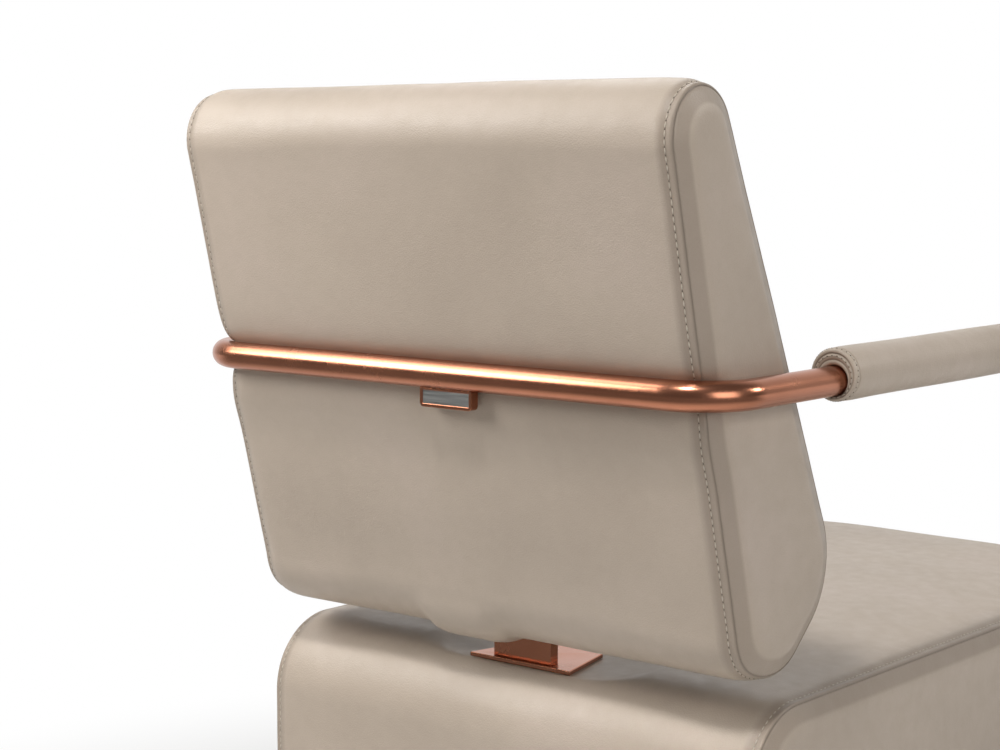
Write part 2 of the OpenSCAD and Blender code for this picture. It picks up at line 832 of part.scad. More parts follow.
module slide_carriages() {
    inner = slide_width - 2 * slide_wall - 2 * slide_gap;
    foot_low = deck_height + slide_wall + slide_gap;
    foot_high = slide_height - 2 * slide_wall - 2 * slide_gap;
    color(steel) difference() {
        for (side = [-1, 1])
            at(side * slide_span / 2, carriage_start + carriage_length, 0) {
                translate([-inner / 2, 0, foot_low]) cube([inner, carriage_length, foot_high]);
                translate([-web_width / 2, 0, foot_low])
                    cube([web_width, carriage_length, carriage_top - foot_low]);
                translate([-carriage_flange / 2, 0, carriage_top - carriage_flange_thick])
                    cube([carriage_flange, carriage_length, carriage_flange_thick]);
            }
        at_carriage_screws() translate([0, 0, -carriage_flange_thick - eps])
            cylinder(carriage_flange_thick + 2 * eps, r = carriage_screw_dia / 2 + bolt_gap);
    }
}

module carriage_screws() {
    color(steel) at_carriage_screws() {
        translate([0, 0, -carriage_flange_thick - eps]) cylinder(carriage_flange_thick
            + carriage_screw_depth, r = carriage_screw_dia / 2);
        translate([0, 0, -carriage_flange_thick - bolt_head / 2])
            cylinder(bolt_head / 2, r = carriage_screw_dia * 0.8);
    }
}

lever_pin_r = 4;
lever_pin_length = 10;
lever_clear = 22;                    // from the rail's outer side to the lever's pivot
lever_side = slide_span / 2 + slide_width / 2 + lever_clear;
lever_thick = 4;
lever_width = 14;
lever_low = deck_height + 8;
grip_length = 26;
grip_width = 22;
grip_thick = 8;

module at_lever() { at(-lever_side, lever_forward, carriage_top) children(); }

module lever_pin() {
    color(steel) at_lever() {
        translate([0, 0, lever_low - carriage_top - 2])
            cylinder(carriage_top - lever_low + lever_pin_length, r = lever_pin_r);
        translate([0, 0, lever_low - carriage_top - 4]) cylinder(2 + eps, r = 2 * lever_pin_r);
    }
}

module release_lever() {
    color(charcoal) at(-lever_side, lever_forward, lever_low) difference() {
        union() {
            cylinder(lever_thick, r = lever_width / 2 + 2);
            translate([-lever_reach + grip_length / 2, -lever_width / 2, 0])
                cube([lever_reach - grip_length / 2, lever_width, lever_thick]);
            translate([-lever_reach, 0, -(grip_thick - lever_thick) / 2]) linear_extrude(grip_thick) {
                translate([-grip_length / 2 + grip_width / 2, 0]) circle(grip_width / 2);
                translate([-grip_length / 2 + grip_width / 2, -grip_width / 2])
                    square([grip_length - grip_width / 2, grip_width]);
            }
        }
        translate([0, 0, -eps]) cylinder(lever_thick + 2 * eps, r = lever_pin_r + run_gap);
    }
}

module slide_rails() {
    inner = slide_width - 2 * slide_wall;
    color(steel) difference() {
        for (side = [-1, 1])
            at(side * slide_span / 2, slide_start + slide_length, deck_height) difference() {
                translate([-slide_width / 2, 0, 0]) cube([slide_width, slide_length, slide_height]);
                translate([-inner / 2, -eps, slide_wall])
                    cube([inner, slide_length + 2 * eps, slide_height - 2 * slide_wall]);
                translate([-slide_slot / 2, -eps, slide_wall])
                    cube([slide_slot, slide_length + 2 * eps, slide_height]);
            }
        at_slide_screws() translate([0, 0, -eps])
            cylinder(slide_wall + 2 * eps, r = carriage_screw_dia / 2 + bolt_gap);
    }
}

rail_screw_inset = 20;
module at_slide_screws() {
    for (side = [-1, 1], along = [rail_screw_inset, slide_length - rail_screw_inset])
        at(side * slide_span / 2, slide_start + along, deck_height) children();
}

// Countersunk screws, flush with the floor of the rail
module slide_screws() {
    color(steel) at_slide_screws() translate([0, 0, -deck_thick + eps])
        cylinder(deck_thick + slide_wall - 2 * eps, r = carriage_screw_dia / 2);
}

// ---------- Plinth ----------

module plinth_slab(inset, low, high) {
    translate([0, 0, low]) round_slab(plinth_width - 2 * inset, y_at(plinth_front - inset),
        y_at(plinth_rear + inset), plinth_front_radius - inset, plinth_rear_radius - inset,
        high - low);
}

tap_forward = plinth_front - tap_setback;
basin_front = basin_rear + basin_length;
shell_top = deck_height - deck_thick;

module basin_slab(grow, low, high, round_by) {
    translate([0, 0, low]) round_slab(basin_width + 2 * grow, y_at(basin_front + grow),
        y_at(basin_rear - grow), round_by + grow, round_by + grow, high - low);
}

module deck() {
    color(lacquer) difference() {
        plinth_slab(-deck_overhang, shell_top, deck_height);
        basin_slab(basin_wall + 1, shell_top - eps, deck_height + eps, basin_round);
        at(-mixer_offset, tap_forward, shell_top - eps) cylinder(2 * deck_thick, r = shank_r + run_gap);
        at(spout_offset, tap_forward, shell_top - eps) cylinder(2 * deck_thick, r = shank_r + run_gap);
        at(button_offset, tap_forward, shell_top - eps)
            cylinder(2 * deck_thick, r = button_shank_r + run_gap);
        at(0, tap_forward, shell_top - eps) cylinder(2 * deck_thick, r = socket_r + run_gap);
        at_slide_screws() translate([0, 0, -deck_thick - eps])
            cylinder(deck_thick + 2 * eps, r = carriage_screw_dia / 2 + bolt_gap);
    }
}

module plinth_shell() {
    color(lacquer) difference() {
        plinth_slab(0, shell_base, shell_top);
        plinth_slab(shell_wall, shell_base - eps, shell_top + eps);
        at(0, plinth_rear, door_base) translate([-door_width / 2, -2 * shell_wall, 0])
            cube([door_width, 4 * shell_wall, door_height]);
    }
}

floor_gap = 0.5;
trap_outlet_side = -70;

module floor_panel() {
    color(ply) difference() {
        plinth_slab(shell_wall + floor_gap, shell_base, shell_base + floor_thick);
        at(trap_outlet_side, waste_forward, shell_base - eps)
            cylinder(2 * floor_thick, r = pipe_r + 1);
        at_supplies() translate([0, 0, shell_base - eps])
            cylinder(2 * floor_thick, r = supply_r + 1);
    }
}

module toe_kick() {
    color(charcoal) difference() {
        plinth_slab(toe_inset, glide_height, shell_base);
        plinth_slab(toe_inset + toe_wall, glide_height - eps, shell_base + eps);
    }
}

glide_rows = 3;
module glides() {
    side = plinth_width / 2 - toe_inset - toe_wall / 2 - glide_dia / 8;
    first = plinth_rear + toe_inset + plinth_rear_radius;
    last = plinth_front - toe_inset - plinth_front_radius;
    color(charcoal) for (row = [0 : glide_rows - 1]) mirrored_pair()
        at(side, first + (last - first) * row / (glide_rows - 1), 0)
            cylinder(glide_height, r1 = glide_dia / 2 - 1, r2 = glide_dia / 2);
}

// ---------- Service door ----------

hinge_x = door_width / 2 - door_gap / 2;
hinge_rows = [door_base + 25, door_base + door_height - 25 - hinge_height];
knuckle = hinge_height / 3;

module at_hinges() {
    for (low = hinge_rows) translate([hinge_x, y_at(plinth_rear) + hinge_barrel, low]) children();
}

module access_door() {
    color(lacquer) at(0, plinth_rear, door_base + door_gap)
        translate([-door_width / 2 + door_gap, -shell_wall, 0])
            cube([door_width - 2 * door_gap, shell_wall, door_height - 2 * door_gap]);
}

module door_knob() {
    stem = 14;
    color(copper) at(-door_width / 2 + door_knob_dia * 1.2, plinth_rear, door_base + door_height / 2)
        rotate([-90, 0, 0]) {
            cylinder(stem, r = door_knob_dia / 4);
            translate([0, 0, stem - 4]) cylinder(8, r1 = door_knob_dia / 2 - 2, r2 = door_knob_dia / 2);
        }
}

module door_magnet() {
    magnet = [24, 12, 36];
    color(charcoal) at(-door_width / 2, plinth_rear + shell_wall,
        door_base + door_height / 2 - magnet[2] / 2)
        translate([-magnet[0] / 2, -magnet[1] - turn_gap, 0]) {
            cube(magnet);
            cube([magnet[0] / 2, magnet[1] + turn_gap, magnet[2]]);
        }
}

module hinge_barrel_part(low, high) {
    difference() {
        translate([0, 0, low]) cylinder(high - low, r = hinge_barrel);
        translate([0, 0, low - eps]) cylinder(high - low + 2 * eps, r = hinge_pin + run_gap);
    }
}

module hinge_leaf_part(side, low, high) {
    difference() {
        translate([side > 0 ? 0 : -hinge_leaf, -hinge_barrel, low])
            cube([hinge_leaf, hinge_thick, high - low]);
        translate([0, 0, low - eps]) cylinder(high - low + 2 * eps, r = hinge_pin + run_gap);
    }
}

module hinge_leaves_fixed() {
    color(chromed) at_hinges() difference() {
        union() {
            hinge_leaf_part(1, 0, hinge_height);
            hinge_barrel_part(0, knuckle);
            hinge_barrel_part(2 * knuckle, hinge_height);
        }
        translate([-2 * hinge_barrel, -2 * hinge_barrel, knuckle])
            cube([3 * hinge_barrel + turn_gap, 4 * hinge_barrel, knuckle]);
    }
}

module hinge_leaves_moving() {
    color(chromed) at_hinges() difference() {
        union() {
            hinge_leaf_part(-1, 0, hinge_height);
            hinge_barrel_part(knuckle + turn_gap, 2 * knuckle - turn_gap);
        }
        for (low = [-eps, 2 * knuckle - turn_gap])
            translate([-hinge_barrel - turn_gap, -2 * hinge_barrel, low])
                cube([3 * hinge_barrel, 4 * hinge_barrel, knuckle + turn_gap + eps]);
    }
}

module hinge_pins() {
    color(steel) at_hinges() {
        translate([0, 0, -0.5]) cylinder(hinge_height + 1, r = hinge_pin);
        translate([0, 0, hinge_height]) cylinder(1.5, r = hinge_barrel - 0.5);
    }
}

// ---------- Basin, jet and waste ----------

waste_forward = (basin_rear + basin_front) / 2;
pipe_r = 20;
basin_low_round = basin_round - basin_slope / 2;
jet_height = (basin_floor + basin_slope + deck_height) / 2 - 4;

// Upright walls, then sloping feet down to a smaller floor
module basin_body(grow, floor_level, top) {
    waist = floor_level + basin_slope;
    basin_slab(grow, waist - eps, top, basin_round);
    hull() {
        basin_slab(grow, waist - 2 * eps, waist, basin_round, $fn = hull_facets);
        basin_slab(grow - basin_slope, floor_level, floor_level + eps, basin_low_round,
            $fn = hull_facets);
    }
}

module basin() {
    color(acrylic) difference() {
        union() {
            basin_body(basin_wall, basin_floor - basin_wall, deck_height + eps);
            basin_slab(rim_width, deck_height, deck_height + rim_thick, basin_round);
        }
        basin_body(0, basin_floor, deck_height + 2 * rim_thick);
        at(0, basin_rear, jet_height) along_y(6 * basin_wall, jet_dia / 2);
        at(0, waste_forward, basin_floor - 2 * basin_wall)
            cylinder(4 * basin_wall, r = waste_dia / 2);
        at(overflow_side, basin_front, overflow_height) along_y(6 * basin_wall, overflow_r);
    }
}

overflow_side = 110;
overflow_r = 11;
overflow_drop = 45;
overflow_height = deck_height - overflow_drop;

module overflow_rosette() {
    color(chromed) at(overflow_side, basin_front, overflow_height) difference() {
        union() {
            translate([0, 2, 0]) along_y(4, overflow_r * 1.8);
            translate([0, -basin_wall / 2, 0]) along_y(basin_wall + 1, overflow_r - run_gap);
        }
        for (up = [-1, 0, 1]) translate([0, 2, up * overflow_r * 0.75])
            cube([overflow_r * 1.3, 20, overflow_r * 0.3], center = true);
    }
}

jet_flange_r = jet_dia / 2 + 9;
jet_cover_depth = 10;
grille_r = 4;
grille_ring = 20;

module jet_cover() {
    color(chromed) at(0, basin_rear, jet_height) difference() {
        union() {
            translate([0, -jet_cover_depth / 2, 0]) along_y(jet_cover_depth, jet_flange_r);
            translate([0, (basin_wall - 1) / 2, 0]) along_y(basin_wall + 1, jet_dia / 2 - run_gap);
        }
        translate([0, basin_wall / 2 - 2, 0]) along_y(basin_wall + 8, jet_dia / 2 - 4);
        for (a = [0 : 45 : 315]) rotate([0, a, 0]) translate([grille_ring, 0, 0])
            along_y(4 * jet_cover_depth, grille_r);
        along_y(4 * jet_cover_depth, grille_r * 1.5);
    }
}

impeller_r = jet_dia / 2 - 8;
shaft_r = 3;
blades = 6;

// The impeller spins behind the cover, on the motor's shaft
module jet_impeller() {
    color(charcoal) at(0, basin_rear, jet_height) difference() {
        union() {
            translate([0, basin_wall / 2, 0]) along_y(basin_wall, 9);
            for (i = [0 : blades - 1]) rotate([0, i * 360 / blades, 0])
                translate([impeller_r / 2, basin_wall / 2, 0])
                    cube([impeller_r, basin_wall, 2.5], center = true);
        }
        along_y(8 * basin_wall, shaft_r + run_gap);
    }
}

motor_r = 40;
motor_length = 110;
motor_flange = 10;
motor_back = basin_wall + turn_gap + motor_flange / 2;
module jet_motor() {
    back = basin_wall + turn_gap;
    color(charcoal) at(0, basin_rear, jet_height) {
        translate([0, back + motor_flange / 2, 0]) along_y(motor_flange, jet_flange_r);
        translate([0, motor_back + motor_length / 2, 0]) along_y(motor_length, motor_r);
        translate([0, back / 2 + 1, 0]) along_y(back + 2, shaft_r);
    }
}

flange_lip = 12;
plug_stem_r = 5;
flange_rise_in_basin = 3;
plug_seat = flange_rise_in_basin + turn_gap;
plug_stem = plug_lift + 12;
stem_bore = 40;

module waste_flange() {
    color(chromed) at(0, waste_forward, basin_floor) difference() {
        union() {
            cylinder(flange_rise_in_basin, r = waste_dia / 2 + flange_lip);
            translate([0, 0, -basin_wall - 28])
                cylinder(basin_wall + 28 + eps, r = waste_dia / 2 - run_gap);
        }
        translate([0, 0, -6]) cylinder(20, r = waste_dia / 2 - 4);
        difference() {
            translate([0, 0, -2 * basin_wall - 30])
                cylinder(2 * basin_wall + 30, r = waste_dia / 2 - 6);
            translate([0, 0, -10]) cylinder(4, r = plug_stem_r + 3);
            for (a = [0, 60, 120]) rotate([0, 0, a])
                translate([-waste_dia, -1.5, -10]) cube([2 * waste_dia, 3, 4]);
        }
        translate([0, 0, -stem_bore]) cylinder(1.5 * stem_bore, r = plug_stem_r + run_gap);
    }
}

module waste_plug() {
    color(chromed) at(0, waste_forward, basin_floor) {
        translate([0, 0, -plug_stem]) cylinder(plug_stem + plug_seat + eps, r = plug_stem_r);
        translate([0, 0, plug_seat]) cylinder(5, r1 = waste_dia / 2 + 2, r2 = waste_dia / 2 - 3);
    }
}

// Bottle trap: cup under the waste, and an arm to the outlet through the floor panel
module waste_trap() {
    cup_r = 32;
    cup_height = 62;
    cup_low = shell_base + floor_thick;
    arm_height = cup_low + 40;
    neck_r = waste_dia / 2 + 5;
    neck_low = cup_low + cup_height;
    neck_top = basin_floor - basin_wall - eps;
    outlet_low = shell_base - 40;
    bore = pipe_r - 3;
    color(lacquer) difference() {
        union() {
            at(0, waste_forward, cup_low) cylinder(cup_height, r = cup_r);
            at(0, waste_forward, neck_low - eps) cylinder(neck_top - neck_low + eps, r = neck_r);
            at(trap_outlet_side / 2, waste_forward, arm_height) along_x(-trap_outlet_side, pipe_r);
            at(trap_outlet_side, waste_forward, outlet_low)
                cylinder(arm_height - outlet_low, r = pipe_r);
            at(trap_outlet_side, waste_forward, arm_height) sphere(pipe_r);
        }
        at(0, waste_forward, cup_low + 5) cylinder(neck_top, r = waste_dia / 2 + run_gap);
        at(trap_outlet_side, waste_forward, outlet_low - eps)
            cylinder(arm_height - outlet_low - pipe_r, r = bore);
    }
}

// ---------- Taps and controls ----------

shank_r = 16;
shank_drop = 16;           // length of a tap's shank below the deck
shank_low = shell_top - shank_drop;
shank_nut = 8;
supply_r = 7.5;
supply_gap = 18;
mixer_top = deck_height + mixer_height;

module at_supplies() {
    for (side = [-1, 1]) at(-mixer_offset + side * supply_gap / 2, tap_forward, 0) children();
}

module mixer_body() {
    color(copper) at(-mixer_offset, tap_forward, deck_height) difference() {
        union() {
            cylinder(5, r = mixer_dia / 2 + 4);
            cylinder(mixer_height, r = mixer_dia / 2);
            translate([0, 0, -deck_thick - shank_drop])
                cylinder(deck_thick + shank_drop + 1, r = shank_r);
            translate([0, 0, -deck_thick - shank_nut]) cylinder(shank_nut, r = shank_r + 6);
        }
        translate([0, 0, mixer_height - 10]) cylinder(20, r = cap_spigot_r + run_gap);
    }
}

cap_height = 18;
cap_spigot_r = 10;
lever_slot = 12;
lever_root = 11.4;
mixer_pin_r = 2;
mixer_pivot = 11;

module at_mixer_cap() { at(-mixer_offset, tap_forward, mixer_top + turn_gap) children(); }

module mixer_cap() {
    color(copper) at_mixer_cap() difference() {
        union() {
            cylinder(cap_height, r = mixer_dia / 2);
            translate([0, 0, -8]) cylinder(9, r = cap_spigot_r);
        }
        translate([-mixer_dia, -lever_slot / 2, 4]) cube([mixer_dia + 9, lever_slot, cap_height]);
        translate([0, 0, mixer_pivot]) along_y(mixer_dia - 6, mixer_pin_r + run_gap);
    }
}

module mixer_pin() {
    color(steel) at_mixer_cap() translate([0, 0, mixer_pivot]) along_y(mixer_dia - 7, mixer_pin_r);
}

module mixer_lever() {
    bar_r = 4.5;
    color(copper) at_mixer_cap() translate([0, 0, mixer_pivot]) difference() {
        union() {
            along_y(lever_root, 6);
            translate([-mixer_lever_length / 2 - 2, 0, 0]) along_x(mixer_lever_length - 4, bar_r);
            translate([-mixer_lever_length, 0, 0]) sphere(bar_r);
        }
        along_y(2 * lever_slot, mixer_pin_r + run_gap);
    }
}

module supply_pipes() {
    low = shell_base + 1;
    color(copper) at_supplies() translate([0, 0, low]) cylinder(shank_low - low, r = supply_r);
}

// Mixed water runs in front of the footrest's socket, from the mixer's shank to the spout's
module outlet_pipe() {
    radius = 5;
    out = y_at(tap_forward + shank_r - radius - 1);
    front = y_at(tap_forward + socket_r + radius + 3);
    low = shank_low - 3 * radius;
    color(copper) pipe_run([
        [-mixer_offset, out, shank_low], [-mixer_offset, out, low], [-mixer_offset, front, low],
        [spout_offset, front, low], [spout_offset, y_at(tap_forward), low],
        [spout_offset, y_at(tap_forward), shank_low]], radius);
}

column_r = 14;
column_height = 46;
spout_spigot_r = 7;

module spout_base() {
    color(copper) at(spout_offset, tap_forward, deck_height) difference() {
        union() {
            cylinder(5, r = mixer_dia / 2 + 4);
            cylinder(column_height, r = column_r);
            translate([0, 0, -deck_thick - shank_drop])
                cylinder(deck_thick + shank_drop + 1, r = shank_r);
            translate([0, 0, -deck_thick - shank_nut]) cylinder(shank_nut, r = shank_r + 6);
        }
        translate([0, 0, column_height - 16]) cylinder(20, r = spout_spigot_r + run_gap);
    }
}

// A gooseneck: up, a quarter bend over the basin, a level run and a short drop
module spout() {
    r = spout_dia / 2;
    bend = 22;
    drop = 20;
    color(copper) at(spout_offset, tap_forward, deck_height) difference() {
        union() {
            translate([0, 0, column_height + turn_gap])
                cylinder(spout_rise - bend - column_height - turn_gap, r = r);
            translate([0, 0, column_height - 14]) cylinder(16, r = spout_spigot_r);
            translate([0, bend, spout_rise - bend]) rotate([90, 0, -90])
                rotate_extrude(angle = 90) translate([bend, 0]) circle(r);
            translate([0, (bend + spout_reach - bend) / 2, spout_rise])
                along_y(spout_reach - 2 * bend, r);
            translate([0, spout_reach - bend, spout_rise - bend]) rotate([90, 0, 90])
                rotate_extrude(angle = 90) translate([bend, 0]) circle(r);
            translate([0, spout_reach, spout_rise - bend - drop]) cylinder(drop, r = r);
        }
        translate([0, spout_reach, spout_rise - bend - drop - eps]) cylinder(drop, r = r - 2.5);
    }
}

button_shank_r = 14;
button_shank_drop = 14;
bezel_height = 6;
button_stem_r = 6;

module button_bezel() {
    color(copper) at(button_offset, tap_forward, deck_height) difference() {
        union() {
            cylinder(bezel_height, r = button_dia / 2 + 5);
            translate([0, 0, -deck_thick - button_shank_drop])
                cylinder(deck_thick + button_shank_drop + 1, r = button_shank_r);
        }
        translate([0, 0, -6]) cylinder(20, r = button_dia / 2 + run_gap);
        translate([0, 0, -deck_thick - 8]) cylinder(40, r = button_stem_r + run_gap);
    }
}

module air_button() {
    color(acrylic) at(button_offset, tap_forward, deck_height) {
        translate([0, 0, -6 + button_travel + turn_gap])
            cylinder(bezel_height + 6 - turn_gap, r = button_dia / 2);
        translate([0, 0, -deck_thick - 8 + button_travel + turn_gap])
            cylinder(deck_thick + 8, r = button_stem_r);
    }
}

box_size = [150, 110, 70];
box_side = plinth_width / 2 - shell_wall - box_size[0] / 2 - 20;
box_forward = 300;
floor_top = shell_base + floor_thick;
lead_r = 4;

module control_box() {
    ear = 16;               // fixing ears, which leave room for the lead
    ear_start = 8;
    ear_length = box_size[1] / 2 - ear_start - 2 * lead_r;
    color(charcoal) at(box_side, box_forward, floor_top)
        translate([-box_size[0] / 2, -box_size[1] / 2, 0]) {
            cube(box_size);
            for (x = [-ear * 0.6, box_size[0] - ear * 0.4])
                translate([x, ear_start, 0]) cube([ear, ear_length, lead_r]);
        }
}

// The air tube drops from the button and lies on the floor panel as far as the control box
module air_tube() {
    low = floor_top + lead_r;
    top = shell_top - button_shank_drop;
    side = min(button_offset, box_side + box_size[0] / 3);
    color(charcoal) pipe_run([
        [button_offset, y_at(tap_forward), top], [button_offset, y_at(tap_forward), low],
        [side, y_at(tap_forward - 2 * shank_r), low],
        [side, y_at(box_forward + box_size[1] / 2), low]], lead_r);
}

// The motor's lead drops behind it and lies on the floor panel as far as the control box
module motor_lead() {
    low = floor_top + lead_r;
    motor_end = y_at(basin_rear) + motor_back + motor_length;
    drop = motor_end + 10 * lead_r;
    color(charcoal) pipe_run([
        [0, motor_end, jet_height], [0, drop, jet_height], [0, drop, low],
        [0, y_at(box_forward), low], [box_side - box_size[0] / 2, y_at(box_forward), low]],
        lead_r);
}

// ---------- Footrest ----------

socket_r = stem_dia / 2 + 4;
socket_hold = 46;
socket_depth = footrest_travel + socket_hold;
socket_cap = 8;
stem_top = 32;
plate_thick = 4;

module footrest_socket() {
    color(copper) at(0, tap_forward, deck_height) difference() {
        union() {
            cylinder(socket_cap, r = socket_r + 8);
            translate([0, 0, -socket_depth]) cylinder(socket_depth + 1, r = socket_r);
        }
        translate([0, 0, -socket_depth + 6])
            cylinder(socket_depth + 2 * socket_cap, r = stem_dia / 2 + run_gap);
    }
}

module footrest_stem() {
    color(chromed) at(0, tap_forward, deck_height) {
        translate([0, 0, -socket_depth + 6 + turn_gap])
            cylinder(socket_depth + stem_top - 6 - turn_gap, r = stem_dia / 2);
        translate([-footrest_width / 3, -footrest_depth / 3, stem_top - eps])
            cube([footrest_width / 1.5, footrest_depth / 1.5, plate_thick + eps]);
    }
}

// The pad is a small crowned cushion on the stem's plate
pad_rings = 6;
function footrest_ring(level) =
    let (t = level / pad_rings,
         bulge = 4 * sin(180 * t) - 3,
         half_w = footrest_width / 2 + bulge,
         half_d = footrest_depth / 2 + bulge,
         corner = 14 + bulge)
    [for (q = [0 : 3], s = [0 : pad_points])
        let (a = 90 * q + 90 * s / pad_points,
             cx = (q == 0 || q == 3 ? 1 : -1) * (half_w - corner),
             cy = (q < 2 ? 1 : -1) * (half_d - corner))
        [cx + corner * cos(a), cy + corner * sin(a), footrest_thick * t]];

module footrest_pad() {
    count = 4 * (pad_points + 1);
    points = concat(
        [for (level = [0 : pad_rings]) each footrest_ring(level)],
        [for (p = footrest_ring(pad_rings)) [p[0] * 0.7, p[1] * 0.6, footrest_thick + 3]],
        [[0, 0, footrest_thick + 4], [0, 0, 0]]);
    rings = pad_rings + 1;
    crown = (rings + 1) * count;
    sides = [for (i = [0 : rings - 1], j = [0 : count - 1])
        let (k = (j + 1) % count, a = i * count + j, b = i * count + k)
        each [[a, a + count, b + count], [a, b + count, b]]];
    top = [for (j = [0 : count - 1]) [rings * count + j, crown, rings * count + (j + 1) % count]];
    bottom = [for (j = [0 : count - 1]) [(j + 1) % count, crown + 1, j]];
    color(leather) at(0, tap_forward, deck_height + stem_top + plate_thick)
        polyhedron(points, concat(sides, top, bottom));
}

backrest_cover();
backrest_foam();
backrest_board();
board_bolts();
backrest_post();
post_flange();
foot_bolts();
arm_rail();
rail_standoffs();
rail_screws();
rail_plugs();
badge_frame();
badge_plate();
arm_pad_left();
arm_pad_right();
seat_cover();
seat_foam();
seat_board();
slide_carriages();
carriage_screws();
release_lever();
lever_pin();
slide_rails();
slide_screws();
deck();
plinth_shell();
floor_panel();
toe_kick();
glides();
access_door();
door_knob();
door_magnet();
hinge_leaves_fixed();
hinge_leaves_moving();
hinge_pins();
basin();
jet_cover();
jet_impeller();
jet_motor();
waste_flange();
waste_plug();
waste_trap();
overflow_rosette();
mixer_body();
mixer_cap();
mixer_pin();
mixer_lever();
supply_pipes();
outlet_pipe();
spout_base();
spout();
button_bezel();
air_button();
air_tube();
control_box();
motor_lead();
footrest_socket();
footrest_stem();
footrest_pad();
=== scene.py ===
import json
import math

import bmesh
import bpy
import numpy as np
from mathutils import Matrix, Vector


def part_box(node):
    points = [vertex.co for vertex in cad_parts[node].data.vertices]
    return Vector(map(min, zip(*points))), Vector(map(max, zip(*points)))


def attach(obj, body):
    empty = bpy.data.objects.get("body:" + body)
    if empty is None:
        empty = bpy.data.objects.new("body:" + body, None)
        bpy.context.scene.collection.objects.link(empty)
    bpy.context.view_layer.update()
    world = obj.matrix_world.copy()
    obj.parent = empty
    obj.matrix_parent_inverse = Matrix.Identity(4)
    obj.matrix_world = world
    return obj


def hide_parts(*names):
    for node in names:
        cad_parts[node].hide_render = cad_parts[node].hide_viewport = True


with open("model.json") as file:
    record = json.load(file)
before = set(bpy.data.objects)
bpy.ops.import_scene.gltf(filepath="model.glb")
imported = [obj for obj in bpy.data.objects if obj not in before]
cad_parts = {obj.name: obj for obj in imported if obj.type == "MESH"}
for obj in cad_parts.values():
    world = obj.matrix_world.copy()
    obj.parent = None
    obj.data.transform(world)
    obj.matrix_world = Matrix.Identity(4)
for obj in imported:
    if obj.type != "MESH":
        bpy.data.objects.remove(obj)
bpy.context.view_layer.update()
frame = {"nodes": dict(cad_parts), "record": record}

MM = 0.001

# ---------- Places shared with the solids ----------
# "forward" runs towards the sitter's front from the foot of the backrest, "rise" up from the
# sitting height. Both are in millimetres, and placed() turns them into the frame's metres.

FOOT_Y = 587.0
SEAT_HEIGHT = 620.0
RAIL_FORWARD = -67.0
RAIL_RISE = 261.0
RAIL_RADIUS = 12.5
RAIL_HALF_SPAN = 289.0
RAIL_BEND = 50.0
RAIL_ARM = 560.0


def placed(grid):
    """The points of a grid of (side, forward, rise), in one list, in the frame's metres."""
    side, forward, rise = grid.reshape(-1, 3).T
    return np.stack([side, FOOT_Y - forward, SEAT_HEIGHT + rise], -1) * MM


def shown(name, data):
    """A new object for the data, in the scene."""
    made = bpy.data.objects.new(name, data)
    bpy.context.scene.collection.objects.link(made)
    return made


# ---------- Node trees ----------

def add_node(tree, kind, links=None, operation=None, **values):
    """A new node with values set by socket name, and links given as {socket: source}."""
    made = tree.nodes.new(kind)
    if operation:
        made.operation = operation
    for socket, value in values.items():
        made.inputs[socket.replace("_", " ")].default_value = value
    for socket, source in (links or {}).items():
        tree.links.new(source, made.inputs[socket])
    return made


def larger(tree, first, second):
    return add_node(tree, "ShaderNodeMath", {0: first, 1: second}, "MAXIMUM").outputs[0]


def faded(tree, source, span, ends=(0.0, 1.0)):
    """Goes smoothly from one end value to the other while the source crosses the span."""
    made = add_node(tree, "ShaderNodeMapRange", {"Value": source}, From_Min=span[0],
                    From_Max=span[1], To_Min=ends[0], To_Max=ends[1])
    made.interpolation_type = "SMOOTHSTEP"
    return made.outputs["Result"]


def background_ray(tree):
    """1 for the rays that see the background: camera, glossy and transmission."""
    ray = tree.nodes.new("ShaderNodeLightPath").outputs
    seen = larger(tree, ray["Is Camera Ray"], ray["Is Glossy Ray"])
    return larger(tree, seen, ray["Is Transmission Ray"])


def dimmed(tree, where, span, dim):
    """White as it is seen directly, falling to dim in reflections on the room's dark side."""
    facing = add_node(tree, "ShaderNodeVectorMath", {0: where}, "DOT_PRODUCT")
    facing.inputs[1].default_value = DIM_SIDE
    fade = faded(tree, facing.outputs["Value"], span, (1.0, dim))
    ray = tree.nodes.new("ShaderNodeLightPath")
    return larger(tree, fade, ray.outputs["Is Camera Ray"])


# ---------- Camera, light and floor ----------

CAMERA_AT = (-1.1739, 1.9675, 1.0725)
CAMERA_AHEAD = (0.6385, -0.7619, -0.1088)
LENS, SENSOR = 75.17, 36.0

PURE_WHITE = (1, 1, 1, 1)
FILL_COLOUR = (1.0, 0.985, 0.96, 1)
FLOOR_COLOUR = (0.86, 0.855, 0.845, 1)
FLOOR_RADIUS = 14.0
# metres from the middle between which the floor turns white
FLOOR_FADE = (0.9, 2.0)
# towards the room's dark side, and how bright that side is in reflections
DIM_SIDE = (-0.50, 0.85, 0.16)
ROOM_SPAN, ROOM_DIM = (-0.8, -0.1), 0.16
FLOOR_SPAN, FLOOR_DIM = (-1.2, 0.8), 0.25
FILL_LEVEL = 0.10

WARM, SOFT = (1, 0.985, 0.965), (1, 0.985, 0.97)
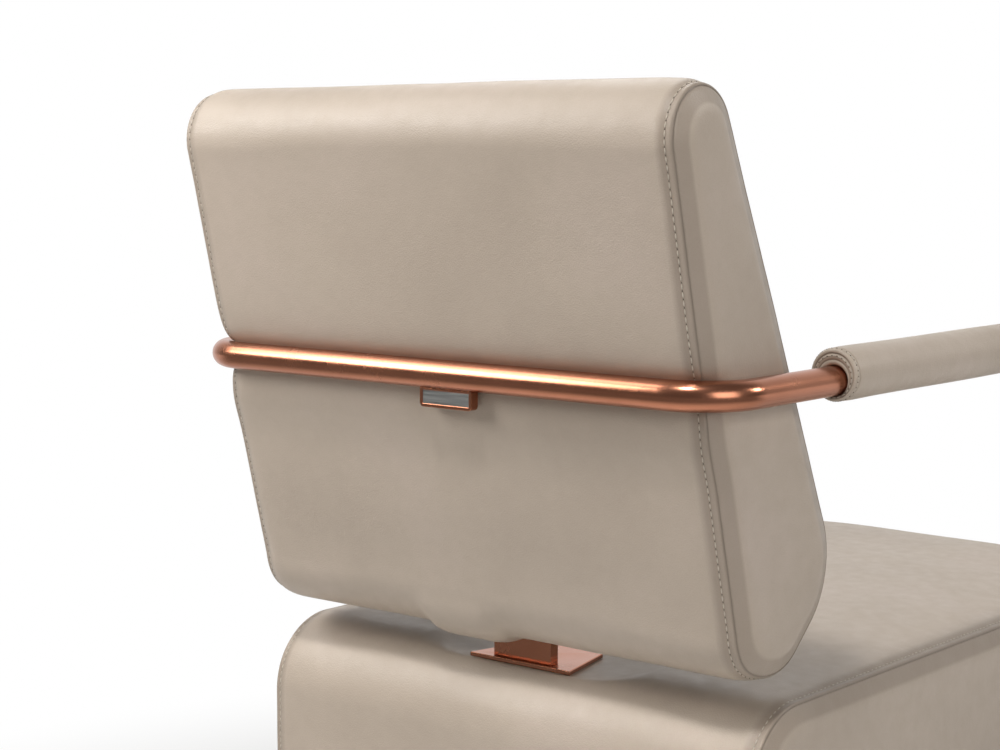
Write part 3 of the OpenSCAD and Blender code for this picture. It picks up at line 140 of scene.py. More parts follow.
# name: place, aim, side in metres, watts, colour, spread in degrees
LAMPS = {
    "rear_key": ((-0.3, 2.35, 4.2), (-0.05, 0.52, 0.75), 0.42, 88, WARM, 180),
    "seat_key": ((-0.3, 2.35, 4.2), (-0.25, 0.80, 0.38), 0.3, 0.66, WARM, 7),
    "rail_light": ((2.05, 1.55, 3.15), (0, 0.5, 0.8), 1.3, 27, WARM, 180),
    "left_fill": ((1.0, 1.5, 1.6), (0.15, 0.6, 0.9), 0.6, 15, WARM, 180),
    "front_key": ((-2.2, -1.2, 2.2), (0, 0.3, 0.85), 0.6, 20, SOFT, 180),
    "side_fill": ((-2.6, 1.4, 1.6), (0, 0.4, 0.8), 1.6, 24, SOFT, 180),
    "front_fill": ((1.5, -1.2, 3.0), (-0.05, 0.52, 0.75), 1.0, 9, SOFT, 180),
}


def set_camera():
    ahead = Vector(CAMERA_AHEAD).normalized()
    right = ahead.cross(Vector((0, 0, 1))).normalized()
    up = right.cross(ahead)
    data = bpy.data.cameras.new("view")
    data.lens = LENS
    data.sensor_width = SENSOR
    data.clip_end = 60
    camera = shown("view", data)
    turn = Matrix((right, up, -ahead)).transposed().to_4x4()
    camera.matrix_world = Matrix.Translation(Vector(CAMERA_AT)) @ turn
    bpy.context.scene.camera = camera


def softbox(name, at, towards, side, power, colour, spread):
    data = bpy.data.lights.new(name, "AREA")
    data.shape = "RECTANGLE"
    data.size = data.size_y = side
    data.energy = power
    data.color = colour
    data.spread = math.radians(spread)
    lamp = shown(name, data)
    lamp.location = at
    lamp.rotation_euler = (Vector(towards) - Vector(at)).to_track_quat("-Z", "Y").to_euler()


def set_world():
    """Soft fill, and a white surround for what sees it; the room behind the camera is dim."""
    world = bpy.data.worlds.new("studio")
    bpy.context.scene.world = world
    world.use_nodes = True
    tree = world.node_tree
    tree.nodes.clear()
    way = tree.nodes.new("ShaderNodeTexCoord").outputs["Generated"]
    seen = dimmed(tree, way, ROOM_SPAN, ROOM_DIM)
    fill = add_node(tree, "ShaderNodeBackground", Color=FILL_COLOUR, Strength=FILL_LEVEL)
    white = add_node(tree, "ShaderNodeBackground", {"Strength": seen}, Color=PURE_WHITE)
    mix = add_node(tree, "ShaderNodeMixShader",
                   {0: background_ray(tree), 1: fill.outputs[0], 2: white.outputs[0]})
    add_node(tree, "ShaderNodeOutputWorld", {"Surface": mix.outputs[0]})


def lay_floor():
    """A pale floor that keeps the chair's shadow and turns to the white background further out."""
    bm = bmesh.new()
    bmesh.ops.create_circle(bm, cap_ends=True, segments=96, radius=FLOOR_RADIUS)
    mesh = bpy.data.meshes.new("floor")
    bm.to_mesh(mesh)
    bm.free()
    paint = bpy.data.materials.new("pale_floor")
    paint.use_nodes = True
    tree = paint.node_tree
    tree.nodes.clear()
    where = tree.nodes.new("ShaderNodeTexCoord").outputs["Object"]
    seen = dimmed(tree, where, FLOOR_SPAN, FLOOR_DIM)
    length = add_node(tree, "ShaderNodeVectorMath", {0: where}, "LENGTH")
    fade = faded(tree, length.outputs["Value"], FLOOR_FADE)
    both = add_node(tree, "ShaderNodeMath", {0: fade, 1: background_ray(tree)}, "MULTIPLY")
    matt = add_node(tree, "ShaderNodeBsdfDiffuse", Color=FLOOR_COLOUR)
    white = add_node(tree, "ShaderNodeEmission", {"Strength": seen}, Color=PURE_WHITE)
    mix = add_node(tree, "ShaderNodeMixShader",
                   {0: both.outputs[0], 1: matt.outputs[0], 2: white.outputs[0]})
    add_node(tree, "ShaderNodeOutputMaterial", {"Surface": mix.outputs[0]})
    mesh.materials.append(paint)
    shown("floor", mesh)


set_camera()
set_world()
lay_floor()
for name, lamp in LAMPS.items():
    softbox(name, *lamp)
bpy.context.scene.view_settings.view_transform = "Standard"


# ---------- Finishes ----------

class Finish:
    """A material under construction: its tree, its shader and short ways to add nodes."""

    def __init__(self, name, **sockets):
        self.material = bpy.data.materials.new(name)
        self.material.use_nodes = True
        self.tree = self.material.node_tree
        self.shader = self.tree.nodes["Principled BSDF"]
        for socket, value in sockets.items():
            self.shader.inputs[socket.replace("_", " ")].default_value = value
        self.coords = self.tree.nodes.new("ShaderNodeTexCoord").outputs["Object"]

    def stretched(self, scale):
        return add_node(self.tree, "ShaderNodeMapping", {"Vector": self.coords}, Scale=scale).outputs[0]

    def noise(self, scale, detail=3.0, vector=None):
        return add_node(self.tree, "ShaderNodeTexNoise", {"Vector": vector or self.coords},
                        Scale=scale, Detail=detail).outputs["Fac"]

    def cells(self, scale):
        return add_node(self.tree, "ShaderNodeTexVoronoi", {"Vector": self.coords},
                        Scale=scale).outputs["Distance"]

    def ramp(self, source, *stops):
        made = add_node(self.tree, "ShaderNodeValToRGB", {"Fac": source})
        band = made.color_ramp
        while len(band.elements) < len(stops):
            band.elements.new(0.5)
        for element, (at, colour) in zip(band.elements, stops):
            element.position = at
            element.color = (*colour, 1)
        return made.outputs["Color"]

    def spread(self, source, low, high, start=0.3, end=0.7):
        """The source, from start to end, mapped to go from low to high."""
        return add_node(self.tree, "ShaderNodeMapRange", {"Value": source}, From_Min=start,
                        From_Max=end, To_Min=low, To_Max=high).outputs["Result"]

    def mixed(self, factor, first, second):
        """The first colour, a node's output, mixed with the second by the factor."""
        made = self.tree.nodes.new("ShaderNodeMix")
        made.data_type = "RGBA"
        # 0, 6 and 7 are the factor and the two colours
        self.tree.links.new(factor, made.inputs[0])
        self.tree.links.new(first, made.inputs[6])
        made.inputs[7].default_value = (*second, 1)
        return made.outputs[2]

    def attribute(self, name):
        made = self.tree.nodes.new("ShaderNodeAttribute")
        made.attribute_name = name
        return made.outputs["Fac"]

    def bump(self, height, distance, strength=1.0, under=None):
        links = {"Height": height, "Normal": under} if under else {"Height": height}
        return add_node(self.tree, "ShaderNodeBump", links, Distance=distance,
                        Strength=strength).outputs["Normal"]

    def painted(self, **sources):
        """The material, with nodes fed to the shader's sockets."""
        for socket, source in sources.items():
            self.tree.links.new(source, self.shader.inputs[socket.replace("_", " ")])
        return self.material


def leather_finish():
    f = Finish("taupe_leather", Specular_IOR_Level=0.34)
    blotch = f.noise(5.0, 4.0)
    fine = f.noise(70.0, 4.0)
    pores = f.cells(780.0)
    tone = f.ramp(blotch, (0.30, (0.398, 0.334, 0.274)), (0.52, (0.440, 0.371, 0.306)),
                  (0.74, (0.467, 0.392, 0.332)))
    tone = f.mixed(f.spread(fine, 0.0, 0.16), tone, (0.36, 0.300, 0.240))
    tone = f.mixed(f.spread(pores, 0.12, 0.0, 0.0, 0.5), tone, (0.24, 0.19, 0.145))
    # painted shade: the leather darkens in seam grooves, beside the seams, in laps and folds and in the
    # rail's dent
    tone = f.mixed(f.attribute("painted_shade"), tone, (0.20, 0.16, 0.125))
    coarse = f.bump(f.noise(120.0, 3.0), 0.0006, 0.35)
    grain = f.bump(pores, 0.00028, 0.5, coarse)
    return f.painted(
        Base_Color=tone,
        Roughness=f.spread(fine, 0.36, 0.48),
        Normal=f.bump(f.noise(2400.0, 2.0), 0.00008, 0.4, grain))


def copper_finish():
    f = Finish("satin_copper", Metallic=1.0)
    tone = f.ramp(f.noise(9.0, 3.0), (0.3, (0.43, 0.175, 0.100)), (0.7, (0.49, 0.205, 0.122)))
    return f.painted(
        Base_Color=f.mixed(f.spread(f.noise(60.0, 3.0), 0.0, 0.10), tone, (0.35, 0.135, 0.078)),
        Roughness=f.spread(f.noise(30.0, 3.0), 0.22, 0.28),
        Normal=f.bump(f.noise(260.0, 2.0), 0.00001, 0.25))


def brushed_plate_finish():
    f = Finish("brushed_silver", Metallic=1.0)
    lines = f.noise(900.0, 4.0, f.stretched((0.03, 1.0, 1.0)))
    return f.painted(
        Base_Color=f.ramp(lines, (0.3, (0.40, 0.40, 0.385)), (0.7, (0.54, 0.54, 0.52))),
        Roughness=f.spread(lines, 0.26, 0.42),
        Normal=f.bump(lines, 0.00005, 0.5))


def metal_finish(name, colour, rough_low, rough_high, scale):
    f = Finish(name, Metallic=1.0)
    wear = f.noise(scale, 4.0)
    dark = tuple(0.82 * c for c in colour)
    return f.painted(
        Base_Color=f.ramp(wear, (0.3, dark), (0.65, colour)),
        Roughness=f.spread(wear, rough_low, rough_high),
        Normal=f.bump(f.noise(scale * 30, 2.0), 0.00003, 0.3))


def lacquer_finish(name, colour, rough):
    f = Finish(name, Specular_IOR_Level=0.5)
    soft = f.noise(4.0, 3.0)
    dust = f.noise(260.0, 3.0)
    dark = tuple(0.93 * c for c in colour)
    return f.painted(
        Base_Color=f.mixed(f.spread(dust, 0.0, 0.10), f.ramp(soft, (0.3, dark), (0.7, colour)),
                           tuple(0.86 * c for c in colour)),
        Roughness=f.spread(dust, rough, rough + 0.08),
        Normal=f.bump(f.noise(480.0, 2.0), 0.00006, 0.35))


def acrylic_finish():
    f = Finish("basin_acrylic", Specular_IOR_Level=0.5, Coat_Weight=0.35, Coat_Roughness=0.04)
    return f.painted(
        Base_Color=f.ramp(f.noise(6.0, 2.0), (0.3, (0.80, 0.80, 0.785)), (0.7, (0.86, 0.86, 0.85))),
        Roughness=f.spread(f.noise(40.0, 3.0), 0.10, 0.17),
        Normal=f.bump(f.noise(55.0, 1.0), 0.0002, 0.15))


def plastic_finish(name, colour, rough):
    f = Finish(name, Specular_IOR_Level=0.45)
    grain = f.cells(1300.0)
    light = tuple(min(1.0, 1.18 * c + 0.004) for c in colour)
    return f.painted(
        Base_Color=f.ramp(f.noise(35.0, 3.0), (0.3, colour), (0.7, light)),
        Roughness=f.spread(f.noise(90.0, 3.0), rough, rough + 0.1),
        Normal=f.bump(grain, 0.00012, 0.35))


def plywood_finish():
    f = Finish("birch_plywood", Specular_IOR_Level=0.35)
    figure = f.noise(7.0, 5.0, f.stretched((1.0, 0.12, 1.0)))
    rings = f.noise(90.0, 3.0, f.stretched((1.0, 0.05, 1.0)))
    tone = f.ramp(figure, (0.3, (0.52, 0.36, 0.20)), (0.7, (0.66, 0.50, 0.31)))
    return f.painted(
        Base_Color=f.mixed(f.spread(rings, 0.0, 0.4), tone, (0.40, 0.26, 0.14)),
        Roughness=f.spread(rings, 0.55, 0.72),
        Normal=f.bump(rings, 0.00015, 0.4))


def foam_finish():
    f = Finish("upholstery_foam", Specular_IOR_Level=0.2)
    holes_and_hole_shade = f.cells(520.0)
    return f.painted(
        Base_Color=f.ramp(holes_and_hole_shade, (0.05, (0.55, 0.47, 0.28)), (0.4, (0.80, 0.72, 0.48))),
        Roughness=f.spread(holes_and_hole_shade, 0.95, 0.85, 0.0, 0.5),
        Normal=f.bump(holes_and_hole_shade, 0.0006, 0.8))


def thread_finish(name, colour):
    f = Finish(name, Specular_IOR_Level=0.35, Roughness=0.6)
    twist = f.noise(2600.0, 2.0)
    return f.painted(
        Base_Color=f.ramp(twist, (0.3, tuple(0.8 * c for c in colour)), (0.7, colour)),
        Normal=f.bump(twist, 0.0001, 0.6))


LEATHER = leather_finish()
COPPER = copper_finish()
SILVER = brushed_plate_finish()
STEEL = metal_finish("zinc_steel", (0.50, 0.505, 0.51), 0.32, 0.48, 60.0)
CHROME = metal_finish("polished_chrome", (0.66, 0.67, 0.68), 0.05, 0.11, 25.0)
PIPE = metal_finish("copper_pipe", (0.62, 0.30, 0.18), 0.28, 0.42, 40.0)
LACQUER = lacquer_finish("pearl_lacquer", (0.74, 0.72, 0.69), 0.24)
LAMINATE = lacquer_finish("dark_laminate", (0.026, 0.024, 0.023), 0.45)
ACRYLIC = acrylic_finish()
BLACK = plastic_finish("black_plastic", (0.022, 0.021, 0.021), 0.42)
WHITE = plastic_finish("white_plastic", (0.74, 0.74, 0.72), 0.28)
RUBBER = plastic_finish("glide_rubber", (0.035, 0.034, 0.033), 0.7)
PLYWOOD = plywood_finish()
FOAM = foam_finish()
THREAD = thread_finish("pale_thread", (0.56, 0.495, 0.415))
# dark beads of painted shade in the needle holes between the stitches
HOLE_SHADE = thread_finish("needle_hole_shade", (0.14, 0.115, 0.09))


# ---------- Meshes ----------

def mesh_piece(name, points, faces, finish=None):
    mesh = bpy.data.meshes.new(name)
    mesh.from_pydata([tuple(p) for p in np.asarray(points, float)], [], [tuple(f) for f in faces])
    mesh.update()
    mesh.polygons.foreach_set("use_smooth", [True] * len(mesh.polygons))
    if finish:
        mesh.materials.append(finish)
    return shown(name, mesh)


def mark_painted_shade(piece, depth):
    """Keeps for the leather how much painted shade each point gets: 0 is plain, 1 is the dark of a
    seam's groove.
    """
    layer = piece.data.attributes.new("painted_shade", "FLOAT", "POINT")
    layer.data.foreach_set("value", np.asarray(depth).ravel().astype(np.float32))


def cleaned(piece, merge=0.00002):
    """Merges doubled points and turns the faces outwards."""
    bm = bmesh.new()
    bm.from_mesh(piece.data)
    bmesh.ops.remove_doubles(bm, verts=bm.verts, dist=merge)
    bmesh.ops.dissolve_degenerate(bm, edges=bm.edges, dist=1e-6)
    bmesh.ops.recalc_face_normals(bm, faces=bm.faces)
    if bm.calc_volume(signed=True) < 0:
        bmesh.ops.reverse_faces(bm, faces=bm.faces)
    bm.to_mesh(piece.data)
    bm.free()
    piece.data.update()
    return piece


def applied(piece):
    """The piece with its modifiers made into plain mesh."""
    graph = bpy.context.evaluated_depsgraph_get()
    mesh = bpy.data.meshes.new_from_object(piece.evaluated_get(graph))
    piece.modifiers.clear()
    piece.data = mesh
    return piece


def grid_faces(rows, columns, wrap_rows=False, wrap_columns=False):
    faces = []
    for i in range(rows if wrap_rows else rows - 1):
        for j in range(columns if wrap_columns else columns - 1):
            a, b = i * columns + j, i * columns + (j + 1) % columns
            k = (i + 1) % rows
            faces.append((a, b, k * columns + (j + 1) % columns, k * columns + j))
    return faces


def smooth_step(x, low, high):
    t = np.clip((np.asarray(x, float) - low) / (high - low), 0, 1)
    return t * t * (3 - 2 * t)


def soft_plus(x, width):
    return width * np.logaddexp(0, np.asarray(x, float) / width)


def bell(x, middle, width):
    return np.exp(-((x - middle) / width) ** 2)


def swell(grid, size, seed, stretch=1.0):
    """A slow random field from -1 to 1, the sum of a few fixed waves; size is its wavelength in mm."""
    points = (grid * stretch).reshape(-1, 3)
    rng = np.random.default_rng(seed)
    total = np.zeros(len(points))
    for _ in range(9):
        way = rng.normal(size=3)
        way *= (0.7 + 0.6 * rng.random()) * 2 * math.pi / (size * np.linalg.norm(way))
        total += np.sin(points @ way + rng.random() * 2 * math.pi)
    return (total / 3.6).reshape(grid.shape[:2])


# ---------- Upholstered blocks ----------

def side_angle(a, b):
    """Direction of the outward normal of the straight side from roll a to roll b."""
    run, up = b[0] - a[0], b[1] - a[1]
    return math.atan2(up, run) - math.acos((a[2] - b[2]) / math.hypot(run, up))


def roll_loop(rolls, hubs, arc_steps, side_steps):
    """Points, outward normals and hub points round an outline of rolls joined by straight sides."""
    count = len(rolls)
    angles = [side_angle(rolls[i], rolls[(i + 1) % count]) for i in range(count)]
    points, normals, inner = [], [], []
    for i, (forward, rise, radius) in enumerate(rolls):
        start, end = angles[i - 1], angles[i]
        while end < start:
            end += 2 * math.pi
        for angle in np.linspace(start, end, arc_steps[i]):
            way = np.array([math.cos(angle), math.sin(angle)])
            points.append(np.array([forward, rise]) + radius * way)
            normals.append(way)
            inner.append(hubs[i])
        after = rolls[(i + 1) % count]
        way = np.array([math.cos(end), math.sin(end)])
        first = np.array([forward, rise]) + radius * way
        last = np.array(after[:2]) + after[2] * way
        for t in np.linspace(0, 1, side_steps[i] + 2)[1:-1]:
            points.append(first + t * (last - first))
            normals.append(way)
            inner.append((1 - t) * np.array(hubs[i]) + t * np.array(hubs[(i + 1) % count]))
    return np.array(points), np.array(normals), np.array(inner, float)


# distances of the stations from the seam, on the panel and on the gusset
EDGE_STEPS = [0, 0.5, 1.0, 1.6, 2.4, 3.6, 5.0, 6.5, 8.0, 10, 12.5, 15.5, 19, 23, 28, 34, 41, 50]
GUSSET_STEPS = [0.5, 1.1, 2.0, 3.2, 5, 7.5, 10.5, 14, 18, 23, 29, 36, 44, 54, 66, 80, 96]


def block_grid(seam_rolls, panel_rolls, roll_hubs, steps, half, spacing, edge_drop, gusset_bulge,
               panel_lift):
    """Stations across an upholstered block: left gusset, wrapped panel, right gusset.

    Returns positions (side, forward, rise), each column's distance to the seam on its panel,
    the columns of the two seams, the seam's line and its hubs.
    """
    seam_loop, normals, hubs = roll_loop(seam_rolls, roll_hubs, *steps)
    panel_loop = roll_loop(panel_rolls, roll_hubs, *steps)[0]
    inner = np.arange(EDGE_STEPS[-1] + spacing, half, spacing)
    from_seam = np.concatenate([EDGE_STEPS, inner])
    sides = np.concatenate([-half + from_seam, (half - from_seam)[::-1]])
    keep = np.concatenate([[True], np.diff(sides) > 0.1])
    sides = sides[keep]
    edge = half - np.abs(sides)
    rows = len(seam_loop)
    panel = np.zeros((rows, len(sides), 3))
    near = smooth_step(edge, 0, 26)[None, :, None]
    drop = edge_drop(edge)[None, :, None]
    base = seam_loop[:, None, :] * (1 - near) + panel_loop[:, None, :] * near
    lift = panel_lift(sides[None, :], base[:, :, 0], base[:, :, 1], normals[:, None, :])
    panel[:, :, 0] = sides[None, :]
    panel[:, :, 1:] = base + normals[:, None, :] * (lift[:, :, None] - drop)
    longest = np.linalg.norm(seam_loop - hubs, axis=1).max()
    out = [g for g in GUSSET_STEPS if g < longest * 0.97] + [longest]
    start = panel[:, -1, 1:]
    gusset = np.zeros((rows, len(out), 3))
    inward = hubs - start
    span = np.linalg.norm(inward, axis=1)
    for j, g in enumerate(out):
        # true distances near the seam, spreading out so that all rows reach their hub together
        share = g / longest
        eased = share + share * (longest / span - 1) * (1 - share) ** 2
        flat = start + inward * eased[:, None]
        gusset[:, j, 0] = half + gusset_bulge(eased * span, flat)
        gusset[:, j, 1:] = flat
    grid = np.concatenate([gusset[:, ::-1] * (-1, 1, 1), panel, gusset], 1)
    distance = np.concatenate([-np.array(out)[::-1], edge, -np.array(out)])
    return grid, distance, len(out), len(out) + len(sides) - 1, seam_loop, hubs


CLOTH_ROWS, CLOTH_PITCH, CLOTH_MARGIN = 3, 9.5, 6.0
CLOTH_PRESSURE, CLOTH_FRAMES = 4.0, 20


def settled(grid, first, last, slack, cap):
    """The block with its wrapped panel settled as cloth, puffed out by pressure and held at both seams.

    A coarse copy of the panel is simulated, and the fine grid follows it by at most cap mm.
    """
    rows = np.arange(0, grid.shape[0], CLOTH_ROWS)
    sides = grid[0, :, 0]
    columns = [first]
    for k in range(first + 1, last):
        if sides[k] - sides[columns[-1]] > CLOTH_PITCH and sides[last] - sides[k] > CLOTH_MARGIN:
            columns.append(k)
    columns.append(last)
    coarse = grid[np.ix_(rows, columns)]
    points = placed(coarse)
    faces = [f[::-1] for f in grid_faces(len(rows), len(columns), wrap_rows=True)]
    cloth = mesh_piece("panel_cloth", points, faces)
    held = cloth.vertex_groups.new(name="held")
    edge = [i for i in range(len(points)) if i % len(columns) in (0, len(columns) - 1)]
    held.add(edge, 1.0, "REPLACE")
    made = cloth.modifiers.new("cloth", "CLOTH")
    rules = made.settings
    rules.quality = 6
    rules.mass = 0.4
    rules.tension_stiffness = rules.compression_stiffness = 30
    rules.shear_stiffness = 20
    rules.bending_stiffness = 4
    rules.use_pressure = True
    rules.uniform_pressure_force = CLOTH_PRESSURE
    rules.shrink_min = -slack
    rules.vertex_group_mass = "held"
    rules.effector_weights.gravity = 0
    made.collision_settings.use_collision = False
    made.point_cache.frame_start = 1
    made.point_cache.frame_end = CLOTH_FRAMES
    scene = bpy.context.scene
    for frame_number in range(1, CLOTH_FRAMES + 1):
        scene.frame_set(frame_number)
    mesh = cloth.evaluated_get(bpy.context.evaluated_depsgraph_get()).to_mesh()
    after = np.zeros(len(points) * 3)
    mesh.vertices.foreach_get("co", after)
    scene.frame_set(1)
    bpy.data.objects.remove(cloth)
    moved = (after.reshape(-1, 3) - points) / MM * np.array([1, -1, 1])
    moved *= min(1.0, cap / np.linalg.norm(moved, axis=1).max())
    moved = moved.reshape(len(rows), len(columns), 3)
    full = np.zeros_like(grid)
    here = np.arange(grid.shape[0])
    for axis in range(3):
        tall = np.stack([np.interp(here, rows, moved[:, j, axis], period=grid.shape[0])
                         for j in range(len(columns))], 1)
        wide = np.stack([np.interp(sides[first:last + 1], sides[columns], line) for line in tall])
        # rounds off the steps between the coarse rows
        for _ in range(2):
            wide = (np.roll(wide, 1, 0) + wide + np.roll(wide, -1, 0)) / 3
        full[:, first:last + 1, axis] = wide
    return grid + full


def weld_hubs(grid, hubs):
    """Brings the points that share a hub point, at both ends of the block, together."""
    keys = np.round(hubs, 2)
    for key in np.unique(keys, axis=0):
        same = np.all(keys == key, axis=1)
        for column in (0, -1):
            grid[same, column] = grid[same, column].mean(axis=0)


def grid_normals(grid):
    """Outward normals of a grid that wraps along its first axis."""
    along = np.roll(grid, -1, 0) - np.roll(grid, 1, 0)
    across = np.gradient(grid, axis=1)
    normal = np.cross(along, across)
    size = np.linalg.norm(normal, axis=2, keepdims=True)
    return normal / np.maximum(size, 1e-9)


def foam_filling(name, grid, distance, hubs, depth=4.0):
    """The foam under a cover: the same block, a cover's thickness and some slack further in."""
    columns = [k for k, d in enumerate(distance) if abs(d) >= 8]
    columns = columns[::2] if columns[-1] % 2 == 0 else columns[::2] + [columns[-1]]
    rows = list(range(0, grid.shape[0], 3))
    inner = (grid - grid_normals(grid) * depth)[np.ix_(rows, columns)]
    weld_hubs(inner, hubs[rows])
    return block_piece(name, inner, FOAM)


def block_piece(name, grid, finish, painted_shade=None):
    rows, columns = grid.shape[:2]
    piece = mesh_piece(name, placed(grid), grid_faces(rows, columns, wrap_rows=True), finish)
    if painted_shade is not None:
        mark_painted_shade(piece, np.clip(painted_shade, 0, 1))
    return cleaned(piece)


STITCH_LINE = 6.5
STITCH_RISE = 0.1


def stitch_rows(grid, left, right):
    """The lines that the topstitching follows beside both seams, just above the leather."""
    outward = grid_normals(grid)
    step = EDGE_STEPS.index(STITCH_LINE)
    return [grid[:, k] + outward[:, k] * STITCH_RISE for k in (left + step, right - step)]


def puckered(grid, outward, seam, distance, lengths):
    """Small waves beside the seams, where the stitches draw the leather in."""
    run = np.cumsum(np.linalg.norm(np.diff(seam, axis=0, append=seam[:1]), axis=1))
    long, short, slow = lengths
    pucker = (np.sin(run / long) + 0.6 * np.sin(run / short + 1.0) + 0.5 * np.sin(run / slow))[:, None]
    close = bell(np.abs(distance), 9, 7.0)[None, :]
    return grid + outward * (pucker * close * 0.16)[..., None]


def painted_seam_shade(distance):
    """Painted shade on the leather by its distance to the seam: a dark line in the seam's groove, a
    darker band beside it, and a faint dark line in the stitched valley.
    """
    away = np.abs(distance)
    width = np.where(np.asarray(distance) < 0, 16.0, 12.5)
    # painted shade: a darker band beside each seam, wider on the gusset side
    painted_edge_shade = 0.40 * (1 - smooth_step(away, width - 2.5, width + 2.5))
    return painted_edge_shade + 0.60 * bell(away, 0, 0.7) + 0.10 * bell(distance, STITCH_LINE, 1.6)


def lapped_edge(depth, run):
    """Drop of the panel towards its seam: a turned-over edge, a proud lap and a stitched valley."""
    def drop(edge):
        turned = depth / run * soft_plus(run - edge, 1.4)
        lap = 1.1 * bell(edge, 0, 0.6) - 0.5 * bell(edge, 2.0, 1.2)
        return turned + lap + 0.5 * bell(edge, STITCH_LINE, 1.6)
    return drop


def pillow(height, run, groove=0.9):
    """Bulge of a gusset with the distance from its seam: a turned edge, then nearly flat."""
    def bulge(distance, _):
        turned = height * (1 - soft_plus(run - distance, 1.2) / soft_plus(run, 1.2))
        return turned - groove * bell(distance, 0, 1.0)
    return bulge


def rail_push(grid, gap=1.0):
    """Presses the grid clear of the rail, which runs round it in plan as a stadium's end."""
    side, y, rise = grid[..., 0], FOOT_Y - grid[..., 1], grid[..., 2] - RAIL_RISE
    rail_y = FOOT_Y - RAIL_FORWARD
    centre = RAIL_HALF_SPAN - RAIL_BEND
    out_x = np.maximum(np.abs(side) - centre, 0)
    out_y = np.maximum(y - (rail_y - RAIL_BEND), 0)
    length = np.maximum(np.hypot(out_x, out_y), 1e-6)
    radius = RAIL_RADIUS + gap
    q = np.abs(rise)
    held = 0.6 * radius
    past = np.maximum(q - held, 0)
    contact = np.sqrt(radius ** 2 - np.minimum(q, held) ** 2)
    # past the line where the leather leaves the tube, the dent there fades away
    at_line = length - RAIL_BEND - np.sign(rise) * past * LEAN
    needed = soft_plus(at_line + contact, 1.1) * np.exp(-past / 9.0)
    moved = grid.copy()
    moved[..., 0] -= np.sign(side) * out_x / length * needed
    moved[..., 1] += out_y / length * needed
    return moved, needed


# ---------- Backrest ----------

# rolls are (forward, rise, radius), in the order lower front, top, lower rear
BACK_HALF = 269.3
BACK_SEAM = [(56.1, 110.0, 75.5), (-62.0, 460.4, 42.6), (46.6, 76.9, 57.5)]
BACK_PANEL = [(55.5, 110.0, 76.5), (-60.0, 460.5, 43.5), (43.5, 77.0, 58.5)]
BACK_HUBS = [(48.0, 96.0), (-61.0, 458.0), (48.0, 96.0)]
LEAN = 0.23
POST_SIDE = -5.0
POST_HALF = 33.0
BADGE_SIDE, BADGE_DROP = -16.0, 32.0


def back_lift(side, forward, rise, normals):
    """Crown of the wrapped panel, and the sag of its underside round the post."""
    across = np.cos(np.clip(side / BACK_HALF, -1, 1) * math.pi / 2) ** 0.7
    crown = 0.3 + 1.5 * (1 - smooth_step(rise, 300, 440)) + 0.6 * across
    # the lower rear corner stays full towards the sides
    heel = np.exp(-((normals[..., 0] + 0.72) ** 2 + (normals[..., 1] + 0.70) ** 2) / 0.22)
    crown = crown + 3.6 * heel * smooth_step(np.abs(side), 120, 240)
    # the rear face is fuller below the rail
    behind = smooth_step(-normals[..., 0], 0.80, 0.97)
    full = smooth_step(rise, 60, 150) * (1 - smooth_step(rise, 250, 400))
    crown = crown + 3.0 * behind * full * (1 - np.clip(np.abs(side) / BACK_HALF, 0, 1) ** 4)
    crown = crown + 2.2 * behind * bell(rise, RAIL_RISE - 44, 22.0)
    under = smooth_step(-normals[..., 1], 0.35, 0.9)
    # the loose hem hangs down beside and over the post
    hem = 1 / (1 + np.exp((side - 71.0) / 3.6)) - 1 / (1 + np.exp((side + 6.0) / 4.6))
    sag = (8.6 * hem + 1.2 * bell(side, -90, 80.0)) * under
    return crown + sag


def upholster_back():
    grid, distance, left, right, seam, hubs = block_grid(
        BACK_SEAM, BACK_PANEL, BACK_HUBS, ((34, 60, 30), (96, 96, 4)), BACK_HALF, 7.0,
        lapped_edge(3.6, 13.0), pillow(7.0, 17.0), back_lift)
    grid = settled(grid, left, right, 0.003, 1.8)
    outward = grid_normals(grid)
    soft = smooth_step(np.abs(distance), 3, 45)[None, :]
    rear = smooth_step(-outward[..., 1], 0.2, 0.8)
    wave = 0.55 * swell(grid, 230.0, 3) + 0.16 * swell(grid, 75.0, 4)
    # pulls that run down and out from the badge's fixing, and puckers along the seams
    side, rise = grid[..., 0], grid[..., 2]
    fan = bell(side, BADGE_SIDE, 46) * bell(rise, RAIL_RISE - BADGE_DROP - 14, 30)
    pulls = fan * np.cos((side - BADGE_SIDE) / 13.0) * 0.9 - fan * 0.7
    grid = grid + outward * ((wave * soft + pulls * rear)[..., None])
    grid = puckered(grid, outward, seam, distance, (11.3, 5.1, 23.0))
    grid, pressed = rail_push(grid)
    weld_hubs(grid, hubs)
    # painted shade beside the seams, and a little more in the dent where the rail presses the leather
    painted_shade = painted_seam_shade(distance)[None, :] + 0.05 * smooth_step(pressed, 1.5, 6)
    cover = block_piece("backrest_leather", grid, LEATHER, painted_shade)
    foam = foam_filling("backrest_filling", grid, distance, hubs)
    return cover, foam, stitch_rows(grid, left, right)


# ---------- Seat ----------

SEAT_HALF = 275.3
SEAT_REAR, SEAT_FRONT = 6.0, 815.0
SEAT_TOP, SEAT_BOTTOM = -5.0, -220.0
SEAT_ROLL, SEAT_LOW_ROLL, SEAT_HUB = 70.0, 14.0, 105.0
SEAT_HEM, HEM_STEP = 45.0, 12.0
PLATE_FORWARD, PLATE_HALF, PLATE_LOW = 76.5, (58.0, 36.0), -12.5


def seat_rolls(shrink):
    rear, front = SEAT_REAR + shrink, SEAT_FRONT - shrink
    top, bottom = SEAT_TOP - shrink, SEAT_BOTTOM + shrink
    roll, low = SEAT_ROLL - shrink, SEAT_LOW_ROLL - shrink
    return [(front - low, bottom + low, low), (front - roll, top - roll, roll),
            (rear + roll, top - roll, roll), (rear + low, bottom + low, low)]


